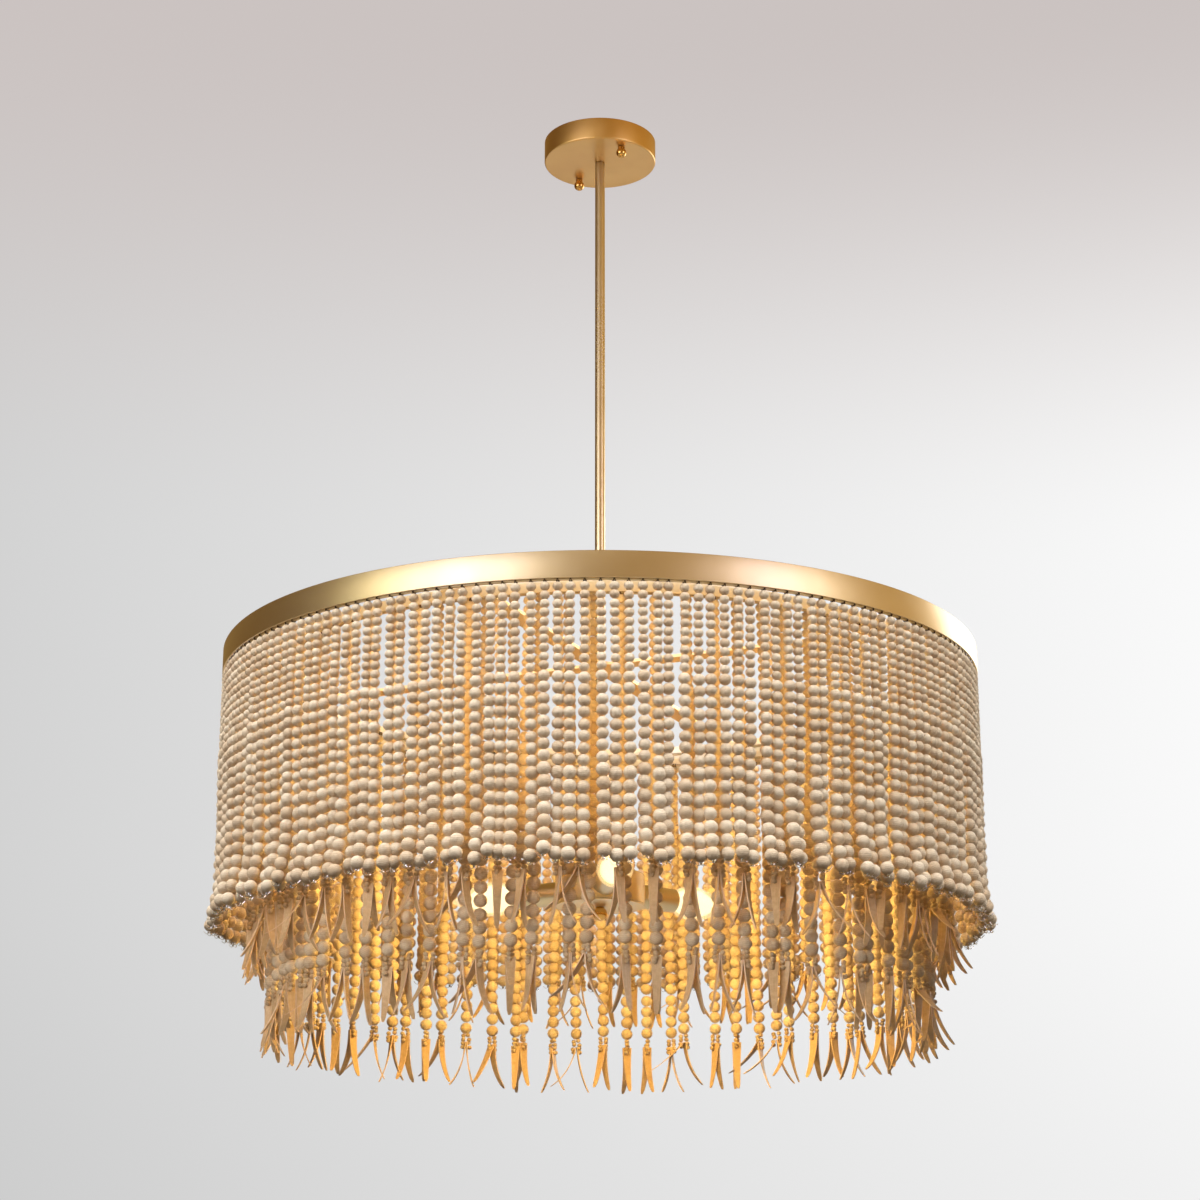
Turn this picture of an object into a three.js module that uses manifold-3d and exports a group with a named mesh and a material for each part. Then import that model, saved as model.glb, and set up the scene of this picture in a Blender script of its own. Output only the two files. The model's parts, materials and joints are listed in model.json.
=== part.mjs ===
// Beaded drum chandelier: a gold hoop frame on a straight stem, dressed with an outer
// curtain and two inner tiers of graded wooden bead strands, with three lamps inside.
// Millimetres, +Z up. The origin is on the ceiling, at the centre of the crossbar.
import * as THREE from 'three';
import { mergeVertices } from 'three/addons/utils/BufferGeometryUtils.js';
import Module from 'manifold-3d';

const wasm = await Module();
wasm.setup();

// Driving dimensions

const gap = 0.3; // clearance left between pieces that touch
const overrun = 1; // how far a cutter runs past the face that it cuts

const canopy = { diameter: 120, height: 24, wall: 1.2, cornerRadius: 1.6 };

const crossbar = {
  endClearance: 4.8,
  tabLength: 17,
  rampLength: 6,
  width: 20,
  thickness: 2,
  headroom: 0.5,
  slotWidth: 5,
  slotLength: 16,
  slotInset: 11,
  groundHoleDiameter: 3.6,
  groundHoleOffset: 6,
};

const stud = {
  inset: 8.5,
  diameter: 4,
  headDiameter: 8,
  headHeight: 2.2,
  headCrown: 0.8,
  holeDiameter: 5.2,
};

const ballNut = { diameter: 11, neckDiameter: 7.5, neckHeight: 2.6, boreDepth: 6.5, endClearance: 0.5 };

const stem = { diameter: 10.5, boreDiameter: 7, reveal: 564 };

const rod = { wireBore: 3.2, engagement: 12, proud: 2 };

const hexNut = { acrossFlats: 12, height: 4 };

const spider = { thickness: 3, armWidth: 19, padDiameter: 34 };

const band = { diameter: 760, height: 25, thickness: 2, segments: 64 };

const hoopStrip = { height: 9.5, thickness: 2, segments: 48 };
const hoopInset = { middle: 34.5, inner: 20 }; // each from the next hoop out, outside to outside
const hoopDrop = 2; // how far the middle hoop's lower edge hangs below the band's
const hanger = { width: 12, overlap: 5 };

const rail = { diameter: 3, knotDepth: 1, threadLead: 0.5 };

const smallBead = { diameter: 8.7, pitch: 8.2 };
const mediumBead = { diameter: 10.9, pitch: 10.4 };
const largeBead = { diameter: 12.6, pitch: 12.05 };

// How many small, medium and large beads a strand has, and the room between strands
const outerCurtain = { counts: [10, 8, 7], slices: 12, strandGap: 1.4, flareBeads: 4, flare: 8 };
const middleTier = { counts: [10, 8, 6], slices: 8, strandGap: 10.3 };
const innerTier = { counts: [11, 8, 12], slices: 8, strandGap: 8.7 };

const pendant = {
  loopLength: 9,
  leafLength: 52,
  leafWidth: 9.5,
  tipWidth: 4,
  leafThickness: 1.2,
  forkDepth: 3,
  spread: 8,
};

const hub = {
  drop: 191,
  diameter: 89,
  height: 32,
  wall: 1.5,
  cornerRadius: 2,
  coverThickness: 1.5,
  coverLip: 3,
};

const finial = { diameter: 14.4, neckWall: 1, neckHeight: 0.8, boreDepth: 7, endClearance: 0.5 };

const lamp = {
  count: 3,
  sleeveDiameter: 24,
  sleeveWall: 1,
  sleeveLength: 47.5,
  endWall: 1.5,
  nippleDiameter: 8,
  nippleReach: 5,
  nippleGrip: 8,
  holderRecess: 1,
  capDiameter: 14,
  capLength: 27,
  capChamfer: 2.2,
  glassDiameter: 35,
  glassLength: 72,
};

// Angles, in degrees
const mountBearing = -60; // plan direction of the line through both ball nuts
const armBearing = 66.5; // plan direction of the first spider arm
const lampBearing = -83; // plan direction of the first lamp
const goldenTurn = 137.5; // turn from one pendant to the next round a tier
const quarterTurn = 90;

// Facets of each round form
const facets = {
  canopy: 36,
  hub: 28,
  tube: 12,
  ball: 10,
  ballRings: 5,
  lamp: 12,
  bore: 10,
  slot: 4,
  corner: 2,
  pad: 3,
};

// Outline of the lamp's glass, as shares of its length and of its radius
const candleShares = [
  [0.03, 0.52],
  [0.14, 0.8],
  [0.32, 1],
  [0.5, 0.95],
  [0.7, 0.72],
  [0.88, 0.36],
  [1, 0],
];

// Finishes

const finish = (color, roughness, metalness, more = {}) =>
  new THREE.MeshStandardMaterial({ color, roughness, metalness, flatShading: true, ...more });

const satinGold = finish(0xc8a468, 0.38, 0.9);
const polishedBrass = finish(0xc9963c, 0.15, 1);
const zincSteel = finish(0xb4b6b8, 0.4, 0.9);
const beadWood = finish(0xd6c4a8, 0.7, 0);
const lampPlastic = finish(0x262321, 0.5, 0);
const lampGlass = finish(0xfff1cf, 0.1, 0, { emissive: 0xffcf87, emissiveIntensity: 0.6 });

// Levels, measured down from the ceiling

const canopyFloorTop = canopy.wall - canopy.height;
const canopyUnderside = -canopy.height;
const bandTop = canopyUnderside - stem.reveal;
const bandBottom = bandTop - band.height;
const spiderTop = bandTop;
const spiderBottom = spiderTop - spider.thickness;
const middleHoopBottom = bandBottom - hoopDrop;
const innerHoopBottom = middleHoopBottom + smallBead.pitch; // hidden behind the middle hoop
const hubTop = bandBottom - hub.drop;
const hubBottom = hubTop - hub.height;
const lampLevel = (hubTop + hubBottom) / 2;

// Sizes that several pieces share

const radians = THREE.MathUtils.degToRad;
const rodHoleRadius = stem.boreDiameter / 2;
const rodRadius = rodHoleRadius - gap;
const hubRadius = hub.diameter / 2;
const crossbarEnd = canopy.diameter / 2 - canopy.wall - crossbar.endClearance;
const crossbarFlat = crossbarEnd - crossbar.tabLength - crossbar.rampLength;
const crossbarDrop = stud.headHeight + gap + crossbar.headroom;
const studOffset = crossbarEnd - stud.inset;
const middleHoop = { ...hoopStrip, diameter: band.diameter - 2 * hoopInset.middle };
const innerHoop = { ...hoopStrip, diameter: middleHoop.diameter - 2 * hoopInset.inner };
const beads = [smallBead, mediumBead, largeBead];
const pendantReach = Math.hypot(pendant.tipWidth / 2, pendant.spread);
const apothem = (radius, sides) => radius * Math.cos(Math.PI / sides);
// Corner radius of a faceted hole whose flats lie at the clear radius
const holeRadius = (clear, sides) => clear / Math.cos(Math.PI / sides);
const hoopInnerFace = (hoop) => apothem(hoop.diameter / 2 - hoop.thickness, hoop.segments);
const strandRadius = (hoop) => hoopInnerFace(hoop) - gap - rail.diameter / 2;

// Geometry helpers

/** Joins equal corners and drops the empty triangles of a geometry, which then holds only positions. */
function weld(geometry) {
  geometry.deleteAttribute('normal');
  geometry.deleteAttribute('uv');
  const merged = mergeVertices(geometry);
  const kept = [];
  for (let i = 0; i < merged.index.count; i += 3) {
    const [a, b, c] = [0, 1, 2].map((step) => merged.index.getX(i + step));
    if (a !== b && b !== c && c !== a) kept.push(a, b, c);
  }
  merged.setIndex(kept);
  return merged;
}

/** Signed volume of a closed indexed geometry. */
function signedVolume(geometry) {
  const place = geometry.attributes.position;
  const corners = [new THREE.Vector3(), new THREE.Vector3(), new THREE.Vector3()];
  let volume = 0;
  for (let i = 0; i < geometry.index.count; i += 3) {
    corners.forEach((corner, step) => corner.fromBufferAttribute(place, geometry.index.getX(i + step)));
    volume += corners[0].dot(corners[1].clone().cross(corners[2])) / 6;
  }
  return volume;
}

/** A welded geometry whose faces all point out. */
function closed(geometry) {
  const welded = weld(geometry);
  if (signedVolume(welded) < 0) welded.setIndex([...welded.index.array].reverse());
  return welded;
}

/** The solid of a closed geometry, ready to be joined or cut. */
function toSolid(geometry) {
  const source = closed(geometry);
  return new wasm.Manifold(
    new wasm.Mesh({
      numProp: 3,
      vertProperties: new Float32Array(source.attributes.position.array),
      triVerts: new Uint32Array(source.index.array),
    }),
  );
}

/** The geometry of a joined or cut solid. */
function toGeometry(solid) {
  const { numProp, vertProperties, triVerts } = solid.getMesh();
  const places = [];
  for (let i = 0; i < vertProperties.length; i += numProp) places.push(...vertProperties.subarray(i, i + 3));
  const geometry = new THREE.BufferGeometry();
  geometry.setAttribute('position', new THREE.Float32BufferAttribute(places, 3));
  geometry.setIndex([...triVerts]);
  return geometry;
}

/** A turned solid about +Z, from [radius, height] points that close on the axis or on themselves. */
function turned(points, segments) {
  const profile = points.map(([radius, height]) => new THREE.Vector2(radius, height));
  return new THREE.LatheGeometry(profile, segments).rotateX(Math.PI / 2);
}

/** A turned tube between two heights. */
function tube(outerRadius, innerRadius, low, high, segments) {
  const start = [innerRadius, low];
  return turned([start, [outerRadius, low], [outerRadius, high], [innerRadius, high], start], segments);
}

/** A plain cylinder about +Z between two heights. */
function cylinder(radius, low, high, segments = facets.bore) {
  const bar = new THREE.CylinderGeometry(radius, radius, high - low, segments).rotateX(Math.PI / 2);
  return bar.translate(0, 0, (low + high) / 2);
}

/** A plate of the outline between two heights. */
function plate(shape, low, high) {
  return new THREE.ExtrudeGeometry(shape, { depth: high - low, bevelEnabled: false }).translate(0, 0, low);
}

const pointOn = (radius, angle) => new THREE.Vector2(radius * Math.cos(angle), radius * Math.sin(angle));

// The group that the pieces join

const chandelier = new THREE.Group();
chandelier.name = 'beaded_chandelier';

/** Adds a named piece to a group. */
function addPiece(parent, name, geometry, material) {
  const piece = new THREE.Mesh(closed(geometry), material);
  piece.name = name;
  parent.add(piece);
  return piece;
}

// Ceiling mounting

/** Side outline of the crossbar: flat at the ceiling, its ends stepped down over the stud heads' height. */
function crossbarStrip() {
  const foot = crossbarFlat + crossbar.rampLength;
  const side = [[crossbarEnd, -crossbarDrop], [foot, -crossbarDrop], [crossbarFlat, 0]];
  const top = [...side.map(([along, level]) => [-along, level]), ...[...side].reverse()];
  const bottom = top.map(([along, level]) => [along, level - crossbar.thickness]).reverse();
  const corners = [...top, ...bottom].map(([along, level]) => new THREE.Vector2(along, level));
  const outline = new THREE.Shape(corners);
  const strip = new THREE.ExtrudeGeometry(outline, { depth: crossbar.width, bevelEnabled: false });
  return strip.translate(0, 0, -crossbar.width / 2).rotateX(Math.PI / 2);
}

/** Cutter for one screw slot, its long way along the crossbar. */
function slotCutter(centre) {
  const radius = crossbar.slotWidth / 2;
  const straight = crossbar.slotLength / 2 - radius;
  const shape = new THREE.Shape();
  shape.absarc(centre + straight, 0, radius, -Math.PI / 2, Math.PI / 2, false);
  shape.absarc(centre - straight, 0, radius, Math.PI / 2, -Math.PI / 2, false);
  const cutter = new THREE.ExtrudeGeometry(shape, {
    depth: crossbar.thickness + 2 * overrun,
    bevelEnabled: false,
    curveSegments: facets.slot,
  });
  return cutter.translate(0, 0, -crossbar.thickness - overrun);
}

function crossbarGeometry() {
  let body = toSolid(crossbarStrip());
  for (const side of [-1, 1]) {
    body = body.subtract(toSolid(slotCutter(side * (crossbarFlat - crossbar.slotInset))));
    const clear = holeRadius(stud.diameter / 2 + gap, facets.bore);
    const studHole = cylinder(clear, -crossbarDrop - crossbar.thickness - overrun, overrun);
    body = body.subtract(toSolid(studHole.translate(side * studOffset, 0, 0)));
  }
  const groundHole = cylinder(crossbar.groundHoleDiameter / 2, -crossbar.thickness - overrun, overrun);
  return toGeometry(body.subtract(toSolid(groundHole.translate(0, crossbar.groundHoleOffset, 0))));
}

/** Screw that hangs from the crossbar's stepped end through the canopy floor into its ball nut. */
function studGeometry() {
  const seat = gap - crossbarDrop;
  const crownBase = seat + stud.headHeight - stud.headCrown;
  const end = canopyUnderside - gap - ballNut.boreDepth + ballNut.endClearance;
  const shank = stud.diameter / 2;
  const head = stud.headDiameter / 2;
  const outline = [[0, end], [shank, end], [shank, seat], [head, seat], [head, crownBase]];
  outline.push([head - stud.headCrown, seat + stud.headHeight], [0, seat + stud.headHeight]);
  return turned(outline, facets.bore);
}

/** Ball with a short neck and a blind bore that clears its screw, the seat face at height zero. */
function ballGeometry(ball, neck, clear) {
  const boreRadius = holeRadius(clear, facets.ball);
  const radius = ball.diameter / 2;
  const centre = -ball.neckHeight - Math.sqrt(radius ** 2 - neck ** 2);
  const start = Math.asin(neck / radius);
  const outline = [[0, -ball.boreDepth], [boreRadius, -ball.boreDepth], [boreRadius, 0], [neck, 0]];
  for (let i = 0; i <= facets.ballRings; i += 1) {
    const angle = start + ((Math.PI - start) * i) / facets.ballRings;
    outline.push([i === facets.ballRings ? 0 : radius * Math.sin(angle), centre + radius * Math.cos(angle)]);
  }
  return turned(outline, facets.ball);
}

/** Shallow pan, open to the ceiling, with a rounded lower edge, a stem hole and two stud holes. */
function canopyGeometry() {
  const outer = canopy.diameter / 2;
  const inner = outer - canopy.wall;
  const bend = canopy.cornerRadius;
  const outline = [[inner, 0], [outer, 0]];
  for (let i = 0; i <= facets.corner; i += 1) {
    const angle = (Math.PI / 2) * (i / facets.corner);
    outline.push([outer - bend + bend * Math.cos(angle), canopyUnderside + bend - bend * Math.sin(angle)]);
  }
  outline.push([rodHoleRadius, canopyUnderside], [rodHoleRadius, canopyFloorTop]);
  outline.push([inner, canopyFloorTop], [inner, 0]);
  let pan = toSolid(turned(outline, facets.canopy));
  for (const side of [-1, 1]) {
    const hole = cylinder(stud.holeDiameter / 2, canopyUnderside - overrun, canopyFloorTop + overrun);
    pan = pan.subtract(toSolid(hole.translate(side * studOffset, 0, 0)));
  }
  return toGeometry(pan);
}

/** Round hole of a flat outline, clear of the threaded rod. */
function rodHole() {
  const radius = holeRadius(rodHoleRadius, facets.bore);
  const hole = new THREE.Path();
  const corner = (i) => pointOn(radius, (2 * Math.PI * i) / facets.bore);
  hole.setFromPoints(Array.from({ length: facets.bore }, (_, i) => corner(i)));
  return hole;
}

/** Hexagonal nut, its lower face at the given height, with a clear hole for the threaded rod. */
function hexNutGeometry(low) {
  const corner = hexNut.acrossFlats / 2 / Math.cos(Math.PI / 6);
  const shape = new THREE.Shape(Array.from({ length: 6 }, (_, i) => pointOn(corner, (Math.PI / 3) * i)));
  shape.holes.push(rodHole());
  return plate(shape, low, low + hexNut.height);
}

const threadedRod = (low, high) => tube(rodRadius, rod.wireBore / 2, low, high, facets.bore);

function addMounting() {
  const mounting = new THREE.Group();
  mounting.rotation.z = radians(mountBearing);
  chandelier.add(mounting);
  addPiece(mounting, 'ceiling_crossbar', crossbarGeometry(), zincSteel);
  addPiece(mounting, 'canopy', canopyGeometry(), satinGold);
  [1, -1].forEach((side, i) => {
    const along = side * studOffset;
    addPiece(mounting, `canopy_stud_${i + 1}`, studGeometry(), zincSteel).position.x = along;
    const nut = ballGeometry(ballNut, ballNut.neckDiameter / 2, stud.diameter / 2 + gap);
    const seated = addPiece(mounting, `canopy_ball_nut_${i + 1}`, nut, polishedBrass);
    seated.position.set(along, 0, canopyUnderside - gap);
  });
  const nutSeat = canopyFloorTop + gap;
  const nippleTop = nutSeat + hexNut.height + rod.proud;
  addPiece(mounting, 'canopy_nipple', threadedRod(canopyUnderside - rod.engagement, nippleTop), zincSteel);
  addPiece(mounting, 'canopy_nipple_nut', hexNutGeometry(nutSeat), zincSteel);
}

// Stem and hoop frame

const stemTube = (low, high) => tube(stem.diameter / 2, rodHoleRadius, low, high, facets.tube);

/** Cross-shaped plate: four flat arms on a round pad, each arm reaching the band's inner face. */
function spiderGeometry() {
  const half = spider.armWidth / 2;
  const pad = spider.padDiameter / 2;
  const reach = Math.sqrt((hoopInnerFace(band) - gap) ** 2 - half ** 2);
  const root = Math.asin(half / pad);
  const outline = [];
  for (let arm = 0; arm < 4; arm += 1) {
    const turn = (arm * Math.PI) / 2;
    const hubPoint = new THREE.Vector2();
    const corner = (along, across) => new THREE.Vector2(along, across).rotateAround(hubPoint, turn);
    outline.push(corner(reach, -half), corner(reach, half));
    for (let i = 0; i <= facets.pad; i += 1) {
      outline.push(pointOn(pad, turn + root + ((Math.PI / 2 - 2 * root) * i) / facets.pad));
    }
  }
  const shape = new THREE.Shape(outline);
  shape.holes.push(rodHole());
  return plate(shape, spiderBottom, spiderTop);
}

/** Round strip standing on edge between two heights. */
function hoopGeometry(hoop, bottom) {
  const outer = hoop.diameter / 2;
  return tube(outer, outer - hoop.thickness, bottom, bottom + hoop.height, hoop.segments);
}

/** Inner hoop with four upright straps that hang it from the spider's arms. */
function hungHoopGeometry(hoop, bottom) {
  let body = toSolid(hoopGeometry(hoop, bottom));
  const low = bottom + hoop.height - hanger.overlap;
  const high = spiderBottom - gap;
  for (let arm = 0; arm < 4; arm += 1) {
    const strap = new THREE.BoxGeometry(hoop.thickness, hanger.width, high - low);
    strap.translate((hoop.diameter - hoop.thickness) / 2, 0, (low + high) / 2);
    body = body.add(toSolid(strap.rotateZ(radians(armBearing + arm * quarterTurn))));
  }
  return toGeometry(body);
}

function addFrame() {
  addPiece(chandelier, 'stem_upper', stemTube(spiderTop + gap, canopyUnderside - gap), satinGold);
  const coupling = threadedRod(spiderBottom - rod.engagement, spiderTop + rod.engagement);
  addPiece(chandelier, 'stem_coupling', coupling, zincSteel);
  addPiece(chandelier, 'stem_lower', stemTube(hubTop + gap, spiderBottom - gap), satinGold);
  addPiece(chandelier, 'spider_plate', spiderGeometry(), satinGold).rotation.z = radians(armBearing);
  addPiece(chandelier, 'outer_band', hoopGeometry(band, bandBottom), satinGold);
  addPiece(chandelier, 'middle_hoop', hungHoopGeometry(middleHoop, middleHoopBottom), satinGold);
  addPiece(chandelier, 'inner_hoop', hungHoopGeometry(innerHoop, innerHoopBottom), satinGold);
}

// Bead strands

/** Triangle mesh that is built ring by ring, from the top down. */
class Shell {
  constructor() {
    this.places = [];
    this.triangles = [];
  }

  /** Adds corners and returns their numbers. */
  ring(corners) {
    const first = this.places.length / 3;
    corners.forEach((corner) => this.places.push(...corner));
    return corners.map((_, i) => first + i);
  }

  /** Joins two rings that may differ in their number of corners, both anticlockwise from above. */
  bridge(upper, lower) {
    let [i, j] = [0, 0];
    while (i < upper.length || j < lower.length) {
      const [a, b] = [upper[i % upper.length], lower[j % lower.length]];
      const upperNext = (i + 1) / upper.length;
      const lowerNext = (j + 1) / lower.length;
      if (i < upper.length && (j >= lower.length || upperNext <= lowerNext)) {
        i += 1;
        this.triangles.push(b, upper[i % upper.length], a);
      } else {
        j += 1;
        this.triangles.push(b, lower[j % lower.length], a);
      }
    }
  }

  geometry() {
    const geometry = new THREE.BufferGeometry();
    geometry.setAttribute('position', new THREE.Float32BufferAttribute(this.places, 3));
    geometry.setIndex(this.triangles);
    return geometry;
  }
}

/** Length of the beads on a strand, from the first bead's top to the last one's foot. */
function beadedLength(counts) {
  return counts.reduce((sum, count, i) => sum + count * beads[i].pitch, 0);
}

/** How many strands a slice of the tier holds: as many as its room allows, evenly spaced. */
function strandsPerSlice(tier, hoop) {
  const width = tier.flare ? apothem(largeBead.diameter, 6) : 2 * pendantReach;
  const room = (2 * Math.PI * strandRadius(hoop)) / tier.slices;
  return Math.round(room / (width + tier.strandGap));
}

/** Three corners round a point of the strand, the first one towards the angle. */
function triangleRing(x, y, z, radius, angle) {
  return [0, 1, 2].map((i) => {
    const corner = pointOn(radius, angle + (2 * Math.PI * i) / 3);
    return [x + corner.x, y + corner.y, z];
  });
}

/** The two leaves of a pendant, curling apart below the four corners of their shared neck. */
function addLeaves(shell, neck, place, z) {
  const [n0, n1, n2, n3] = neck;
  const wide = pendant.leafWidth / 2;
  const tip = pendant.tipWidth / 2;
  const foot = z - pendant.leafLength;
  const fork = z - pendant.forkDepth;
  const [e, f] = shell.ring([place(wide, 0, fork), place(-wide, 0, fork)]);
  const [g0, g1] = shell.ring([place(tip, pendant.spread, foot), place(-tip, pendant.spread, foot)]);
  const [h0, h1] = shell.ring([place(-tip, -pendant.spread, foot), place(tip, -pendant.spread, foot)]);
  shell.triangles.push(g0, g1, n1, g0, n1, n0, h0, h1, n3, h0, n3, n2);
  shell.triangles.push(n3, e, n0, n3, h1, e, e, g0, n0, n1, f, n2, n1, g1, f, f, h0, n2);
  shell.triangles.push(g1, g0, e, g1, e, f, h1, h0, f, h1, f, e);
}

/** One strand as a slim three-sided column over its beads, hung from a knot inside the rail. */
function strandGeometry(tier, radius, angle, turn, railBottom) {
  const shell = new Shell();
  const top = railBottom - rail.threadLead;
  const foot = top - beadedLength(tier.counts);
  const centre = pointOn(radius, angle);
  const facing = tier.flare ? angle : angle + turn + Math.PI / 2;
  const section = (z, diameter, out = 0) => {
    const middle = pointOn(radius + out, angle);
    return shell.ring(triangleRing(middle.x, middle.y, z, diameter / 2, facing));
  };
  const knot = shell.ring([[centre.x, centre.y, railBottom + rail.knotDepth]]);
  const rings = [knot, section(top - smallBead.pitch / 2, smallBead.diameter)];
  if (tier.flare) {
    rings.push(section(foot + tier.flareBeads * largeBead.pitch, largeBead.diameter));
    rings.push(section(foot, largeBead.diameter, tier.flare));
  } else {
    rings.push(section(foot, largeBead.diameter));
    const neckLevel = foot - pendant.loopLength;
    const across = angle + turn;
    const place = (u, v, z) => {
      const offset = new THREE.Vector2(u, v).rotateAround(new THREE.Vector2(), across);
      return [centre.x + offset.x, centre.y + offset.y, z];
    };
    const [wide, thick] = [pendant.leafWidth / 2, pendant.leafThickness];
    const corners = [[wide, thick], [-wide, thick], [-wide, -thick], [wide, -thick]];
    const neck = shell.ring(corners.map(([u, v]) => place(u, v, neckLevel)));
    rings.push(neck);
    addLeaves(shell, neck, place, neckLevel);
  }
  if (tier.flare) shell.triangles.push(...[...rings[rings.length - 1]].reverse());
  for (let i = 1; i < rings.length; i += 1) shell.bridge(rings[i - 1], rings[i]);
  return shell.geometry();
}

/** Arc of the wire rail that a slice's strands are tied to. */
function railGeometry(radius, start, span, steps, middleLevel) {
  const half = rail.diameter / 2;
  const at = (distance, i) => pointOn(distance, start + (span * i) / steps);
  const arc = (distance) => Array.from({ length: steps + 1 }, (_, i) => at(distance, i));
  const shape = new THREE.Shape([...arc(radius + half), ...arc(radius - half).reverse()]);
  return plate(shape, middleLevel - half, middleLevel + half);
}

/** One slice of a tier: its share of the rail with the strands that hang from it. */
function sliceGeometry(tier, hoop, hoopLevel, slice) {
  const radius = strandRadius(hoop);
  const span = (2 * Math.PI) / tier.slices;
  const perSlice = strandsPerSlice(tier, hoop);
  const railSteps = Math.ceil(perSlice / 2);
  const start = slice * span + gap / 2 / radius;
  const railBottom = hoopLevel - rail.diameter / 2;
  let body = toSolid(railGeometry(radius, start, span - gap / radius, railSteps, hoopLevel));
  for (let i = 0; i < perSlice; i += 1) {
    const angle = span * (slice + (i + 0.5) / perSlice);
    const turn = radians(goldenTurn * (slice * perSlice + i));
    body = body.add(toSolid(strandGeometry(tier, radius, angle, turn, railBottom)));
  }
  return toGeometry(body);
}

function addTier(name, tier, hoop, hoopLevel) {
  for (let slice = 0; slice < tier.slices; slice += 1) {
    const label = String(slice + 1).padStart(2, '0');
    const strands = sliceGeometry(tier, hoop, hoopLevel, slice);
    addPiece(chandelier, `${name}_${label}`, strands, beadWood);
  }
}

// Lamp hub

/** Round cup, open below, with a rounded shoulder, a rod hole and a wire hole for each lamp. */
function hubBodyGeometry() {
  const outer = hubRadius;
  const inner = outer - hub.wall;
  const bend = hub.cornerRadius;
  const low = hubBottom + hub.coverThickness + gap;
  const outline = [[inner, low], [outer, low]];
  for (let i = 0; i <= facets.corner; i += 1) {
    const angle = (Math.PI / 2) * (i / facets.corner);
    outline.push([outer - bend + bend * Math.cos(angle), hubTop - bend + bend * Math.sin(angle)]);
  }
  const ceiling = hubTop - hub.wall;
  outline.push([rodHoleRadius, hubTop], [rodHoleRadius, ceiling], [inner, ceiling], [inner, low]);
  let body = toSolid(turned(outline, facets.hub));
  for (let i = 0; i < lamp.count; i += 1) {
    const hole = cylinder(nippleHoleRadius, inner - hub.wall, outer + overrun).rotateY(Math.PI / 2);
    hole.rotateZ(radians(lampBearing) + (2 * Math.PI * i) / lamp.count);
    body = body.subtract(toSolid(hole.translate(0, 0, lampLevel)));
  }
  return toGeometry(body);
}

/** Flat lid under the hub, with a lip that centres it inside the cup. */
function hubCoverGeometry() {
  const top = hubBottom + hub.coverThickness;
  const lipOuter = apothem(hubRadius - hub.wall, facets.hub) - gap;
  const lipInner = lipOuter - hub.wall;
  const outline = [[rodHoleRadius, hubBottom], [hubRadius, hubBottom], [hubRadius, top], [lipOuter, top]];
  outline.push([lipOuter, top + hub.coverLip], [lipInner, top + hub.coverLip], [lipInner, top]);
  outline.push([rodHoleRadius, top], [rodHoleRadius, hubBottom]);
  return turned(outline, facets.hub);
}

function addHub() {
  const finialSeat = hubBottom - gap;
  const rodEnd = finialSeat - finial.boreDepth + finial.endClearance;
  addPiece(chandelier, 'hub_body', hubBodyGeometry(), satinGold);
  addPiece(chandelier, 'hub_rod', threadedRod(rodEnd, hubTop + rod.engagement), zincSteel);
  addPiece(chandelier, 'hub_nut', hexNutGeometry(hubTop - hub.wall - gap - hexNut.height), zincSteel);
  addPiece(chandelier, 'hub_cover', hubCoverGeometry(), satinGold);
  const ball = ballGeometry(finial, rodHoleRadius + finial.neckWall, rodHoleRadius);
  addPiece(chandelier, 'hub_finial', ball, polishedBrass).position.z = finialSeat;
}

// Lamps, each built along +X and turned to its bearing

const sleeveEnd = hubRadius + lamp.sleeveLength;
const sleeveFloor = hubRadius + gap + lamp.endWall;
const holderMouth = sleeveEnd - lamp.holderRecess;
const capSeat = holderMouth - lamp.capLength;
const nippleHoleRadius = lamp.nippleDiameter / 2 + gap;

/** Closed-ended tube whose inner end is shaped to sit on the hub's round side. */
function sleeveGeometry() {
  const outer = lamp.sleeveDiameter / 2;
  const inner = outer - lamp.sleeveWall;
  const start = Math.sqrt(hubRadius ** 2 - outer ** 2) - overrun;
  const outline = [[nippleHoleRadius, start], [outer, start], [outer, sleeveEnd], [inner, sleeveEnd]];
  outline.push([inner, sleeveFloor], [nippleHoleRadius, sleeveFloor], [nippleHoleRadius, start]);
  const blank = toSolid(turned(outline, facets.lamp).rotateY(Math.PI / 2));
  const hubCut = cylinder(hubRadius + gap, -outer - overrun, outer + overrun, facets.hub);
  return toGeometry(blank.subtract(toSolid(hubCut)));
}

/** Screw shell holder: a deep bore for the lamp's cap and a narrower one for the nipple and wires. */
function holderGeometry() {
  const outer = apothem(lamp.sleeveDiameter / 2 - lamp.sleeveWall, facets.lamp) - gap;
  const bore = (lamp.capDiameter / 2 + gap) / Math.cos(Math.PI / facets.lamp);
  const back = sleeveFloor + gap;
  const floor = capSeat - gap;
  const outline = [[nippleHoleRadius, back], [outer, back], [outer, holderMouth], [bore, holderMouth]];
  outline.push([bore, floor], [nippleHoleRadius, floor], [nippleHoleRadius, back]);
  return turned(outline, facets.lamp).rotateY(Math.PI / 2);
}

/** Threaded tube that ties holder and sleeve to the hub's wall. */
function nippleGeometry() {
  const start = hubRadius - hub.wall - lamp.nippleReach;
  const end = sleeveFloor + lamp.nippleGrip;
  return tube(lamp.nippleDiameter / 2, rod.wireBore / 2, start, end, facets.bore).rotateY(Math.PI / 2);
}

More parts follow.
